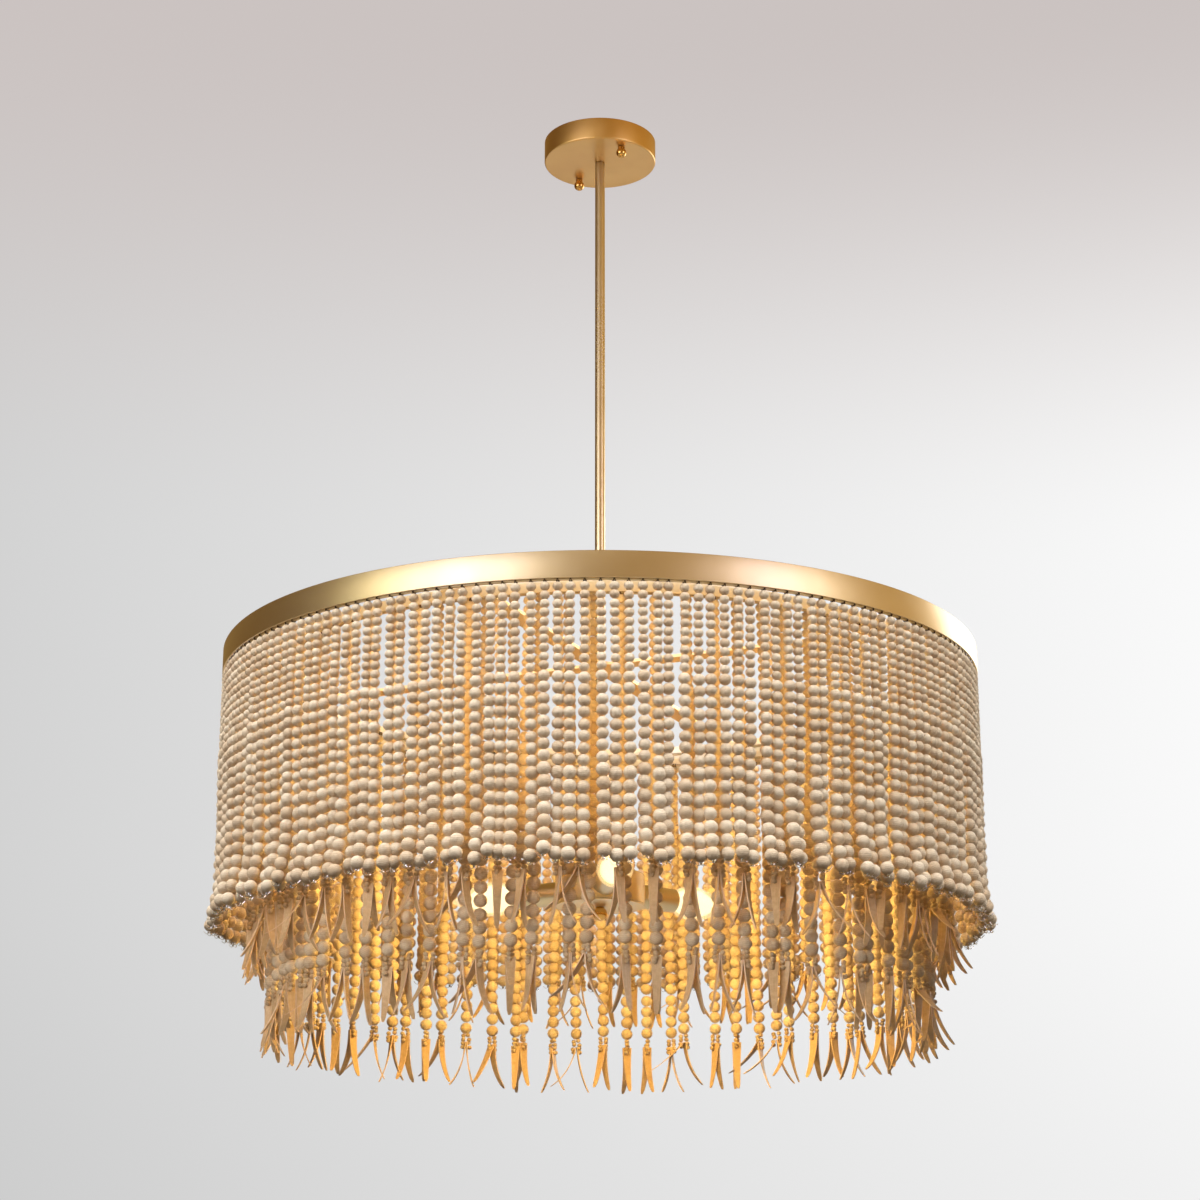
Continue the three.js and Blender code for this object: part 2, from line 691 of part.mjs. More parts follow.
/** Candle lamp: a screw cap and a glass that swells, then tapers to its tip. */
function bulbGeometry() {
  const cap = lamp.capDiameter / 2;
  const outline = [[0, capSeat], [cap - lamp.capChamfer, capSeat], [cap, capSeat + lamp.capChamfer]];
  outline.push([cap, holderMouth]);
  candleShares.forEach(([along, out]) => {
    outline.push([(lamp.glassDiameter / 2) * out, holderMouth + lamp.glassLength * along]);
  });
  return turned(outline, facets.lamp).rotateY(Math.PI / 2);
}

function addLamps() {
  for (let i = 0; i < lamp.count; i += 1) {
    const arm = new THREE.Group();
    arm.position.z = lampLevel;
    arm.rotation.z = radians(lampBearing) + (2 * Math.PI * i) / lamp.count;
    chandelier.add(arm);
    addPiece(arm, `lamp_sleeve_${i + 1}`, sleeveGeometry(), satinGold);
    addPiece(arm, `lamp_nipple_${i + 1}`, nippleGeometry(), zincSteel);
    addPiece(arm, `lamp_holder_${i + 1}`, holderGeometry(), lampPlastic);
    addPiece(arm, `bulb_${i + 1}`, bulbGeometry(), lampGlass);
  }
}

addMounting();
addFrame();
addTier('outer_curtain', outerCurtain, band, bandBottom);
addTier('middle_tier', middleTier, middleHoop, middleHoopBottom);
addTier('inner_tier', innerTier, innerHoop, innerHoopBottom);
addHub();
addLamps();

export default chandelier;
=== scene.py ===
"""Beaded drum chandelier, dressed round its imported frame.

The frame says where every part sits. The classes below build the fine surfaces in the same
places: turned metal, beads strung on threads, seed loops, leather leaves and lit lamps.
"""

from __future__ import annotations

import json
import logging
import math
from dataclasses import dataclass, field
from enum import Enum, IntEnum
from typing import Any, Iterable, Mapping, Sequence, Union

import bmesh
import bpy
from mathutils import Matrix, Vector

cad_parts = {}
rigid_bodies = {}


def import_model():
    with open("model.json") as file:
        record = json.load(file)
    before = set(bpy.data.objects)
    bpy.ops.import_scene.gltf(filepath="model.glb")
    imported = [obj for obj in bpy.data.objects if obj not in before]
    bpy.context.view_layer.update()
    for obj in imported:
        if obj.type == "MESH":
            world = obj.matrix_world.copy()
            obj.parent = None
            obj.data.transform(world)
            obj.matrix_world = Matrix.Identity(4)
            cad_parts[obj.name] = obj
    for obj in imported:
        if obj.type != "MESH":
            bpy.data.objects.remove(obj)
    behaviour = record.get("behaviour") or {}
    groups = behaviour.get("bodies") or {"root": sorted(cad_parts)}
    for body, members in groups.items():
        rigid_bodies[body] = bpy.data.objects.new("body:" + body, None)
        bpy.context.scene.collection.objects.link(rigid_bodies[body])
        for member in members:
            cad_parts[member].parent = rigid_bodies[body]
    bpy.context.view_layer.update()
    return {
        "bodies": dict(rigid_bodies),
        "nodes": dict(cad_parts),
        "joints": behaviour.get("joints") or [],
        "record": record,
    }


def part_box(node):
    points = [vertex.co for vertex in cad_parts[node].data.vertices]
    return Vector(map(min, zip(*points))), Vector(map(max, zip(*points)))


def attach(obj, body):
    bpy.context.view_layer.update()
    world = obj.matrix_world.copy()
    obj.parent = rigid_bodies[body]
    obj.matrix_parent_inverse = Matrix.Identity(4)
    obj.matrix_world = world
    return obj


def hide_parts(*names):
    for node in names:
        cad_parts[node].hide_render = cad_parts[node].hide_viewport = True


log = logging.getLogger("chandelier")

MM = 0.001
TAU = math.tau
TOUCHING = 1e-7

Rgba = tuple[float, float, float, float]
Settings = Mapping[str, Any]
Corner = tuple[float, float, float]


def shade(red: int, green: int, blue: int) -> Rgba:
    """A colour as a screen shows it, from 0 to 255, as the linear values that shaders take.

    Args:
        red: Red from 0 to 255.
        green: Green from 0 to 255.
        blue: Blue from 0 to 255.

    Returns:
        Linear red, green and blue, with an alpha of 1.
    """
    full, knee, slope, offset, power = 255, 0.04045, 12.92, 0.055, 2.4

    def linear(value: float) -> float:
        """One channel's linear value."""
        return value / slope if value <= knee else ((value + offset) / (1 + offset)) ** power

    return (linear(red / full), linear(green / full), linear(blue / full), 1.0)


# Node trees


class Signal:
    """A node's output that Python arithmetic can work on: each operator adds one Math node."""

    def __init__(self, graph: Graph, socket: bpy.types.NodeSocket) -> None:
        """Keeps the tree and the socket.

        Args:
            graph: The tree that the socket belongs to.
            socket: The output socket.
        """
        self.graph = graph
        self.socket = socket

    def math(self, operation: str, *others: Operand) -> Signal:
        """The result of a Math node whose first value is this one.

        Args:
            operation: The Math node's operation.
            others: The values or signals of its other sockets.

        Returns:
            The node's result.
        """
        sockets = dict(enumerate((self, *others)))
        return self.graph.node("ShaderNodeMath", {"operation": operation}, sockets)

    def other(self, name: str) -> Signal:
        """Another output of the same node."""
        return Signal(self.graph, find_socket(self.socket.node.outputs, name))

    def _swapped(self, operation: str, other: float) -> Signal:
        """A Math node whose first value is a number and whose second is this signal."""
        return self.graph.node("ShaderNodeMath", {"operation": operation}, {0: other, 1: self})

    def __add__(self, other: Operand) -> Signal:
        """Sum."""
        return self.math("ADD", other)

    def __radd__(self, other: float) -> Signal:
        """Sum with the number first."""
        return self.math("ADD", other)

    def __sub__(self, other: Operand) -> Signal:
        """Difference."""
        return self.math("SUBTRACT", other)

    def __rsub__(self, other: float) -> Signal:
        """Difference with the number first."""
        return self._swapped("SUBTRACT", other)

    def __mul__(self, other: Operand) -> Signal:
        """Product."""
        return self.math("MULTIPLY", other)

    def __rmul__(self, other: float) -> Signal:
        """Product with the number first."""
        return self.math("MULTIPLY", other)

    def __truediv__(self, other: Operand) -> Signal:
        """Quotient."""
        return self.math("DIVIDE", other)

    def __rtruediv__(self, other: float) -> Signal:
        """Quotient with the number first."""
        return self._swapped("DIVIDE", other)

    def __pow__(self, other: Operand) -> Signal:
        """Power."""
        return self.math("POWER", other)

    def __rpow__(self, other: float) -> Signal:
        """Power with the number first."""
        return self._swapped("POWER", other)


Operand = Union[Signal, float, int]


def find_socket(sockets: Iterable[bpy.types.NodeSocket], key: str | int) -> bpy.types.NodeSocket:
    """The socket at a number, or the first enabled one of a name.

    Args:
        sockets: A node's inputs or outputs.
        key: Its number, or its name.

    Returns:
        The socket.
    """
    if isinstance(key, int):
        return list(sockets)[key]
    return next(socket for socket in sockets if socket.name == key and socket.enabled)


class Graph:
    """A node tree that is built by calls."""

    def __init__(self, tree: bpy.types.NodeTree) -> None:
        """Keeps the tree that the nodes go into."""
        self.tree = tree

    def node(self, kind: str, settings: Settings | None = None, sockets: Mapping | None = None) -> Signal:
        """Adds a node.

        Args:
            kind: The node's type.
            settings: Its settings, which are set first.
            sockets: Values or signals for its inputs, by number or by name.

        Returns:
            The node's first enabled output.
        """
        made = self.tree.nodes.new(kind)
        for name, value in (settings or {}).items():
            setattr(made, name, value)
        for key, value in (sockets or {}).items():
            target = find_socket(made.inputs, key)
            if isinstance(value, Signal):
                self.tree.links.new(value.socket, target)
            else:
                target.default_value = value
        outputs = [socket for socket in made.outputs if socket.enabled]
        return Signal(self, outputs[0]) if outputs else Signal(self, made.inputs[0])

    def vector(self, x: Operand, y: Operand, z: Operand) -> Signal:
        """A vector from three numbers or signals."""
        return self.node("ShaderNodeCombineXYZ", {}, {"X": x, "Y": y, "Z": z})

    def noise(
        self, place: Signal, scale: float, detail: float = 2.0, roughness: float = 0.5, wave: float = 0.0
    ) -> Signal:
        """Smooth noise at a place.

        Args:
            place: Where the noise is read.
            scale: How many of its features fit in a unit.
            detail: How many finer layers it has.
            roughness: How strong each finer layer is.
            wave: How far the features are warped.

        Returns:
            Values from 0 to 1.
        """
        sockets = {
            "Vector": place,
            "Scale": scale,
            "Detail": detail,
            "Roughness": roughness,
            "Distortion": wave,
        }
        return self.node("ShaderNodeTexNoise", {}, sockets)

    def bump(self, height: Signal, strength: float, depth: float) -> Signal:
        """The normal of a surface in relief."""
        return self.node("ShaderNodeBump", {}, {"Strength": strength, "Distance": depth, "Height": height})

    def shift(self, place: Signal, step: Signal) -> Signal:
        """A place moved by a step."""
        return self.node("ShaderNodeVectorMath", {"operation": "ADD"}, {0: place, 1: step})

    def ease(self, value: Operand, start: Operand, end: Operand) -> Signal:
        """A smooth step from 0 at the start to 1 at the end."""
        sockets = {"Value": value, "From Min": start, "From Max": end}
        return self.node("ShaderNodeMapRange", {"interpolation_type": "SMOOTHSTEP"}, sockets)

    def stretch(self, place: Signal, scale: Sequence[float]) -> Signal:
        """A place with its axes scaled."""
        return self.node("ShaderNodeVectorMath", {"operation": "MULTIPLY"}, {0: place, 1: scale})

    def blend(self, factor: Operand, first: Signal | Rgba, second: Signal | Rgba) -> Signal:
        """A colour between two, or one of them tinted by the other."""
        sockets = {"Factor": factor, "A": first, "B": second}
        return self.node("ShaderNodeMix", {"data_type": "RGBA"}, sockets)


# Finishes


class Finish:
    """A finish that is made a material once and then shared."""

    made: dict[Finish, bpy.types.Material] = {}

    def material(self) -> bpy.types.Material:
        """The finish's material.

        Returns:
            The material, which is the same one at every call.
        """
        if self not in Finish.made:
            material = bpy.data.materials.new(type(self).__name__)
            material.use_nodes = True
            material.node_tree.nodes.clear()
            graph = Graph(material.node_tree)
            surface = self.surface(graph)
            graph.node("ShaderNodeOutputMaterial", {}, {"Surface": surface})
            Finish.made[self] = material
        return Finish.made[self]

    def surface(self, graph: Graph) -> Signal:
        """Builds the finish's shader.

        Args:
            graph: The material's tree.

        Returns:
            The shader.
        """
        raise NotImplementedError


@dataclass(frozen=True)
class Metal(Finish):
    """Plated metal under a thin lacquer, with a fine grain and a slightly cloudy gloss."""

    colour: Rgba = shade(212, 192, 150)
    deep: Rgba = shade(206, 184, 140)
    metallic: float = 1.0
    roughness: float = 0.39
    roughness_range: float = 0.05
    cloud_scale: float = 14.0
    cloud_detail: float = 3.0
    cloud_range: tuple[float, float] = (0.35, 0.7)
    grain_scale: float = 2600.0
    grain_stretch: Corner = (1.0, 1.0, 0.35)
    grain_gloss: float = 0.06
    grain_depth: float = 0.2 * MM
    bump: float = 0.08
    lacquer: float = 0.5
    lacquer_density: float = 1.5
    lacquer_roughness: float = 0.2

    def surface(self, graph: Graph) -> Signal:
        """Builds the shader from two noises over the object's own places.

        Args:
            graph: The material's tree.

        Returns:
            The shader.
        """
        place = graph.node("ShaderNodeTexCoord").other("Object")
        cloud = graph.noise(place, self.cloud_scale, self.cloud_detail)
        grain = graph.noise(graph.stretch(place, self.grain_stretch), self.grain_scale, 1.0)
        gloss = (cloud - 0.5) * self.roughness_range + (grain - 0.5) * self.grain_gloss
        sockets = {
            "Base Color": graph.blend(graph.ease(cloud, *self.cloud_range), self.colour, self.deep),
            "Metallic": self.metallic,
            "Roughness": self.roughness + gloss,
            "Normal": graph.bump(grain, self.bump, self.grain_depth),
            "Coat Weight": self.lacquer,
            "Coat IOR": self.lacquer_density,
            "Coat Roughness": self.lacquer_roughness,
        }
        return graph.node("ShaderNodeBsdfPrincipled", {}, sockets)


@dataclass(frozen=True)
class BeadWood(Finish):
    """Pale raw wood: each bead has its own tone, wavy fibres and small pores."""

    pale: Rgba = shade(242, 226, 204)
    tan: Rgba = shade(222, 197, 168)
    pore: Rgba = shade(184, 150, 116)
    tone_share: float = 0.45
    tone_range: tuple[float, float] = (0.2, 0.8)
    tone_step: Corner = (31.0, 17.0, 0.0)
    fibre_scale: float = 13.0
    fibre_detail: float = 3.0
    fibre_grit: float = 0.6
    fibre_stretch: Corner = (1.0, 1.0, 2.2)
    fibre_wave: float = 0.6
    ring_scale: float = 44.0
    ring_wave: float = 9.0
    ring_slant: float = 1.6
    ring_share: float = 0.35
    pore_scale: float = 20.0
    pore_range: tuple[float, float] = (0.6, 0.78)
    pore_share: float = 0.55
    relief: float = 0.9
    relief_depth: float = 0.6 * MM
    roughness: float = 0.7
    roughness_range: float = 0.2
    shine: float = 0.12

    def surface(self, graph: Graph) -> Signal:
        """Builds the shader from each bead's tone and the places on the bead itself.

        Args:
            graph: The material's tree.

        Returns:
            The shader.
        """
        place = graph.node("ShaderNodeAttribute", {"attribute_name": "bead_place"}).other("Vector")
        tone = graph.node("ShaderNodeAttribute", {"attribute_name": "bead_tone"}).other("Fac")
        parts = graph.node("ShaderNodeSeparateXYZ", {}, {"Vector": place})
        along = parts.other("Z") + (tone - 0.5) * self.ring_slant * parts
        place = graph.shift(place, graph.vector(*(tone * step for step in self.tone_step)))
        stretched = graph.stretch(place, self.fibre_stretch)
        fibre = graph.noise(
            stretched, self.fibre_scale, self.fibre_detail, self.fibre_grit, self.fibre_wave
        )
        pores = graph.noise(place, self.pore_scale, 1.0)
        ring = (along * self.ring_scale + fibre * self.ring_wave).math("SINE") * 0.5 + 0.5
        fibre = fibre * (1.0 - self.ring_share) + ring * self.ring_share
        mix = fibre * (1.0 - self.tone_share) + tone * self.tone_share
        body = graph.blend(graph.ease(mix, *self.tone_range), self.pale, self.tan)
        pored = graph.ease(pores, *self.pore_range) * self.pore_share
        sockets = {
            "Base Color": graph.blend(pored, body, self.pore),
            "Roughness": self.roughness + fibre * self.roughness_range,
            "Specular IOR Level": self.shine,
            "Normal": graph.bump(fibre, self.relief, self.relief_depth),
        }
        return graph.node("ShaderNodeBsdfPrincipled", {}, sockets)


@dataclass(frozen=True)
class LeafLeather(Finish):
    """Beige leather strip with pinkish cut edges and faint creases along its length."""

    face: Rgba = shade(226, 196, 156)
    dark: Rgba = shade(208, 174, 132)
    edge: Rgba = shade(244, 216, 190)
    crease_stretch: Corner = (9.0, 1.0, 2.0)
    crease_share: float = 0.4
    mottle_scale: float = 260.0
    mottle_grit: float = 0.6
    detail: float = 3.0
    wear_range: tuple[float, float] = (0.3, 0.7)
    rim: tuple[float, float] = (0.44, 0.5)
    rim_share: float = 0.7
    relief: float = 0.2
    relief_depth: float = 0.2 * MM
    roughness: float = 0.4
    roughness_range: float = 0.2

    def surface(self, graph: Graph) -> Signal:
        """Builds the shader from the leaf's own across and along places.

        Args:
            graph: The material's tree.

        Returns:
            The shader.
        """
        place = graph.node("ShaderNodeAttribute", {"attribute_name": "leaf_place"}).other("Vector")
        across = graph.node("ShaderNodeSeparateXYZ", {}, {"Vector": place})
        crease = graph.noise(graph.stretch(place, self.crease_stretch), 1.0, self.detail)
        whole = graph.node("ShaderNodeTexCoord").other("Object")
        mottle = graph.noise(whole, self.mottle_scale, self.detail, self.mottle_grit)
        wear = crease * self.crease_share + mottle * (1.0 - self.crease_share)
        body = graph.blend(graph.ease(wear, *self.wear_range), self.face, self.dark)
        rim = graph.ease(across.math("ABSOLUTE"), *self.rim) * self.rim_share
        sockets = {
            "Base Color": graph.blend(rim, body, self.edge),
            "Roughness": self.roughness + mottle * self.roughness_range,
            "Normal": graph.bump(mottle, self.relief, self.relief_depth),
        }
        return graph.node("ShaderNodeBsdfPrincipled", {}, sockets)


@dataclass(frozen=True)
class Plain(Finish):
    """A dull material, such as waxed thread or moulded plastic, with slight mottling."""

    colour: Rgba = shade(84, 54, 30)
    accent: Rgba = shade(58, 36, 20)
    roughness: float = 0.6
    roughness_range: float = 0.15
    scale: float = 700.0
    relief: float = 0.15
    relief_depth: float = 0.2 * MM

    def surface(self, graph: Graph) -> Signal:
        """Builds the shader from one noise.

        Args:
            graph: The material's tree.

        Returns:
            The shader.
        """
        noise = graph.noise(graph.node("ShaderNodeTexCoord").other("Object"), self.scale)
        sockets = {
            "Base Color": graph.blend(noise, self.colour, self.accent),
            "Roughness": self.roughness + (noise - 0.5) * self.roughness_range,
            "Normal": graph.bump(noise, self.relief, self.relief_depth),
        }
        return graph.node("ShaderNodeBsdfPrincipled", {}, sockets)


@dataclass(frozen=True)
class PaleFloor(Plain):
    """A plain pale floor that keeps the object's shadow, and looks evenly pale from far off too."""

    colour: Rgba = shade(226, 224, 221)
    accent: Rgba = shade(220, 218, 215)
    roughness: float = 0.8
    scale: float = 3.0
    seen: Rgba = shade(218, 216, 213)
    seen_share: float = 0.6

    def surface(self, graph: Graph) -> Signal:
        """Builds the plain shader, of which the camera sees a share as one even tone.

        Args:
            graph: The material's tree.

        Returns:
            The shader.
        """
        paint = super().surface(graph)
        even = graph.node("ShaderNodeEmission", {}, {"Color": self.seen, "Strength": 1.0})
        share = graph.node("ShaderNodeLightPath") * self.seen_share
        return graph.node("ShaderNodeMixShader", {}, {0: share, 1: paint, 2: even})


@dataclass(frozen=True)
class LampGlow(Finish):
    """A glowing part of a lit lamp, which may let what lies behind it show through."""

    tint: Rgba = shade(160, 146, 122)
    middle: Rgba = (1.0, 0.74, 0.36, 1.0)
    patch: Rgba = (1.0, 0.66, 0.28, 1.0)
    patch_scale: float = 60.0
    patch_share: float = 0.5
    edge_blend: float = 0.5
    strength: float = 0.9
    cover: float = 0.5
    softness: float = 3.0
    roughness: float = 0.15

    def material(self) -> bpy.types.Material:
        """The finish's material, which leaves lighting the beads to the lamp's own light.

        Returns:
            The material.
        """
        material = super().material()
        material.cycles.emission_sampling = "NONE"
        return material

    def surface(self, graph: Graph) -> Signal:
        """Builds the shader, whose glow varies gently over the part.

        Args:
            graph: The material's tree.

        Returns:
            The shader.
        """
        noise = graph.noise(graph.node("ShaderNodeTexCoord").other("Object"), self.patch_scale, 1.0)
        edge = graph.node("ShaderNodeLayerWeight", {}, {"Blend": self.edge_blend}).other("Facing")
        sockets = {
            "Base Color": self.tint,
            "Roughness": self.roughness,
            "Alpha": (1.0 - edge**self.softness) * self.cover,
            "Emission Color": graph.blend(noise * self.patch_share, self.middle, self.patch),
            "Emission Strength": self.strength,
        }
        return graph.node("ShaderNodeBsdfPrincipled", {}, sockets)


class Slot(Enum):
    """The record's material slots."""

    SATIN_GOLD = "satin_gold"
    POLISHED_BRASS = "polished_brass"
    ZINC_STEEL = "zinc_steel"
    BEAD_WOOD = "bead_wood"
    HOLDER_PLASTIC = "holder_plastic"
    LAMP_GLASS = "lamp_glass"
    FILAMENT = "filament"
    LEAF_LEATHER = "leaf_leather"
    SEED_WOOD = "seed_wood"
    THREAD = "thread"
    CRIMP_METAL = "crimp_metal"
    LAMP_CAP = "lamp_cap"


FINISHES: dict[Slot, Finish] = {
    Slot.SATIN_GOLD: Metal(),
    Slot.POLISHED_BRASS: Metal(
        colour=shade(214, 166, 84),
        deep=shade(196, 140, 62),
        roughness=0.14,
        roughness_range=0.04,
        grain_stretch=(1.0, 1.0, 1.0),
        bump=0.01,
        lacquer_roughness=0.08,
    ),
    Slot.ZINC_STEEL: Metal(
        colour=shade(186, 188, 190),
        deep=shade(160, 162, 166),
        roughness=0.4,
        roughness_range=0.12,
        grain_stretch=(1.0, 0.3, 1.0),
        lacquer=0.0,
    ),
    Slot.BEAD_WOOD: BeadWood(),
    Slot.SEED_WOOD: BeadWood(
        pale=shade(232, 210, 182),
        tan=shade(212, 184, 150),
        pore=shade(150, 116, 84),
        fibre_scale=6.0,
        pore_scale=9.0,
    ),
    Slot.HOLDER_PLASTIC: Plain(
        colour=shade(44, 40, 38), accent=shade(28, 26, 25), roughness=0.45, scale=400.0
    ),
    Slot.LAMP_GLASS: LampGlow(),
    Slot.FILAMENT: LampGlow(
        middle=(1.0, 0.84, 0.5, 1.0), patch=(1.0, 0.8, 0.42, 1.0), strength=2.2, cover=1.0, softness=1.2
    ),
    Slot.LEAF_LEATHER: LeafLeather(),
    Slot.THREAD: Plain(),
    Slot.CRIMP_METAL: Metal(
        colour=shade(222, 220, 216),
        deep=shade(150, 146, 140),
        roughness=0.12,
        roughness_range=0.06,
        grain_stretch=(1.0, 1.0, 1.0),
        lacquer=0.0,
    ),
    Slot.LAMP_CAP: Metal(
        colour=shade(206, 204, 198),
        deep=shade(176, 172, 164),
        roughness=0.24,
        grain_stretch=(0.2, 1.0, 1.0),
        lacquer=0.0,
    ),
}


# Meshes


def place_piece(
    mesh: bpy.types.Mesh,
    name: str,
    slot: Slot,
    body: str,
    nodes: Sequence[str],
    finish: Finish | None = None,
) -> bpy.types.Object:
    """Shows a finished mesh as a piece of the chandelier.

    Args:
        mesh: The mesh, with its place in its vertices.
        name: The piece's name.
        slot: The material slot that it takes its finish from.
        body: The body of the frame that it rides on.
        nodes: The frame's nodes that it stands for.
        finish: A variant of the slot's finish, if it has one.

    Returns:
        The piece.
    """
    piece = bpy.data.objects.new(name, mesh)
    bpy.context.scene.collection.objects.link(piece)
    mesh.materials.clear()
    mesh.materials.append((finish or FINISHES[slot]).material())
    if nodes:
        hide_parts(*nodes)
    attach(piece, body)
    log.info("%s: %d faces on %s", name, len(mesh.polygons), body)
    return piece


def dress_node(node: str, slot: Slot, finish: Finish | None = None) -> None:
    """Gives a node of the frame, which stays as it is, its slot's finish or a variant of it.

    Args:
        node: The node's name.
        slot: The material slot that it takes its finish from.
        finish: A variant of the slot's finish, if it has one.
    """
    shown = FRAME["nodes"][node]
    shown.data.materials.clear()
    shown.data.materials.append((finish or FINISHES[slot]).material())
    log.info("%s: kept, in %s", node, slot.value)


def rounded(corners: Sequence[Corner], steps: int = 4) -> list[tuple[float, float]]:
    """A closed outline whose corners are rounded.

    Args:
        corners: Radius, height and rounding of each corner, in order round the outline.
        steps: How many edges each rounding has.

    Returns:
        The outline's points.
    """
    points: list[tuple[float, float]] = []
    for i, (radius, height, fillet) in enumerate(corners):
        here = Vector((radius, height))
        if not fillet:
            points.append((radius, height))
            continue
        before = (Vector(corners[i - 1][:2]) - here).normalized()
        after = (Vector(corners[(i + 1) % len(corners)][:2]) - here).normalized()
        half = before.angle(after) / 2
        reach = fillet / math.tan(half)
        centre = here + (before + after).normalized() * (fillet / math.sin(half))
        start, end = here + before * reach - centre, here + after * reach - centre
        for step in range(steps + 1):
            share = step / steps
            arm = start.lerp(end, share).normalized() * fillet
            points.append(tuple(centre + arm))
    return points


def turned(outline: Sequence[tuple[float, float]], segments: int) -> bpy.types.Mesh:
    """A solid turned about +Z from a closed outline.

    Args:
        outline: Radius and height of each point. Points on the axis close the solid there.
        segments: How many faces go round it.

    Returns:
        The mesh, smooth but for its sharp edges.
    """
    work = bmesh.new()
    rings: list[list[bmesh.types.BMVert]] = []
    for radius, height in outline:
        if radius < TOUCHING:
            rings.append([work.verts.new((0.0, 0.0, height))])
            continue
        turn = TAU / segments
        at = [(radius * math.cos(i * turn), radius * math.sin(i * turn), height) for i in range(segments)]
        rings.append([work.verts.new(place) for place in at])
    for i, ring in enumerate(rings):
        _bridge(work, ring, rings[(i + 1) % len(rings)], segments)
    return finished(work)


def _bridge(work: bmesh.types.BMesh, ring: list, other: list, segments: int) -> None:
    """Joins two rings of a turned solid, either of which may be one point on the axis.

    Args:
        work: The mesh in work.
        ring: The first ring's points.
        other: The next ring's points.
        segments: How many faces join them.
    """
    if len(ring) == 1 and len(other) == 1:
        return
    for i in range(segments):
        j = (i + 1) % segments
        corners = [ring[i % len(ring)], ring[j % len(ring)], other[j % len(other)], other[i % len(other)]]
        work.faces.new(list(dict.fromkeys(corners)))


def swept(path: Sequence[Vector], radii: Sequence[float], sides: int, work: bmesh.types.BMesh) -> None:
    """Adds a round bar along a path to a mesh in work.

    Args:
        path: The middle line's points.
        radii: The bar's radius at each point.
        sides: How many sides the bar has.
        work: The mesh that it joins.
    """
    rings = []
    for i, (point, radius) in enumerate(zip(path, radii)):
        along = (path[min(i + 1, len(path) - 1)] - path[max(i - 1, 0)]).normalized()
        turn = along.to_track_quat("Z", "Y").to_matrix()
        arms = [Vector((math.cos(TAU * k / sides), math.sin(TAU * k / sides), 0.0)) for k in range(sides)]
        rings.append([work.verts.new(point + turn @ (arm * radius)) for arm in arms])
    for ring, other in zip(rings, rings[1:]):
        _bridge(work, ring, other, sides)
    work.faces.new(list(reversed(rings[0])))
    work.faces.new(rings[-1])


def bar(low: Vector, high: Vector, turn: float, work: bmesh.types.BMesh, bevel: float) -> None:
    """Adds a box with softened edges, turned about +Z, to a mesh in work.

    Args:
        low: The box's lowest corner.
        high: Its highest corner.
        turn: How far it is turned.
        work: The mesh that it joins.
        bevel: How far its edges are softened.
    """
    steps, roundness = 2, 0.5
    size = high - low
    middle = Matrix.Translation((low + high) / 2)
    place = Matrix.Rotation(turn, 4, "Z") @ middle @ Matrix.Diagonal((*size, 1.0))
    made = bmesh.ops.create_cube(work, size=1.0, matrix=place)
    edges = {edge for vert in made["verts"] for edge in vert.link_edges}
    bmesh.ops.bevel(
        work, geom=list(edges), offset=bevel, segments=steps, affect="EDGES", profile=roundness
    )


def finished(work: bmesh.types.BMesh, crease: float = math.radians(35.0)) -> bpy.types.Mesh:
    """A mesh from one in work, its faces pointing out and smooth but for sharp edges.

    Args:
        work: The mesh in work.
        crease: Angle past which an edge is left sharp.

    Returns:
        The mesh.
    """
    bmesh.ops.remove_doubles(work, verts=work.verts, dist=TOUCHING)
    bmesh.ops.recalc_face_normals(work, faces=work.faces)
    mesh = bpy.data.meshes.new("piece")
    work.to_mesh(mesh)
    work.free()
    mesh.shade_smooth()
    mesh.set_sharp_from_angle(angle=crease)
    return mesh


def moved(mesh: bpy.types.Mesh, place: Matrix) -> bpy.types.Mesh:
    """The mesh, with its vertices moved to a place."""
    mesh.transform(place)
    return mesh


def knob(radius: float, neck: float, neck_height: float) -> bpy.types.Mesh:
    """A ball under a short neck, whose top face is at height zero.

    Args:
        radius: The ball's radius.
        neck: The neck's radius.
        neck_height: The neck's height.

    Returns:
        The mesh.
    """
    segments, rings, chamfer = 40, 20, 0.06
    centre = -neck_height - math.sqrt(radius**2 - neck**2)
    start = math.asin(neck / radius)
    outline = [(0.0, 0.0), (neck * (1.0 - chamfer), 0.0), (neck, -neck * chamfer)]
    for i in range(rings + 1):
        angle = start + (math.pi - start) * i / rings
        out = radius * math.sin(angle) if i < rings else 0.0
        outline.append((out, centre + radius * math.cos(angle)))
    return turned(outline, segments)


# Strands made by geometry nodes


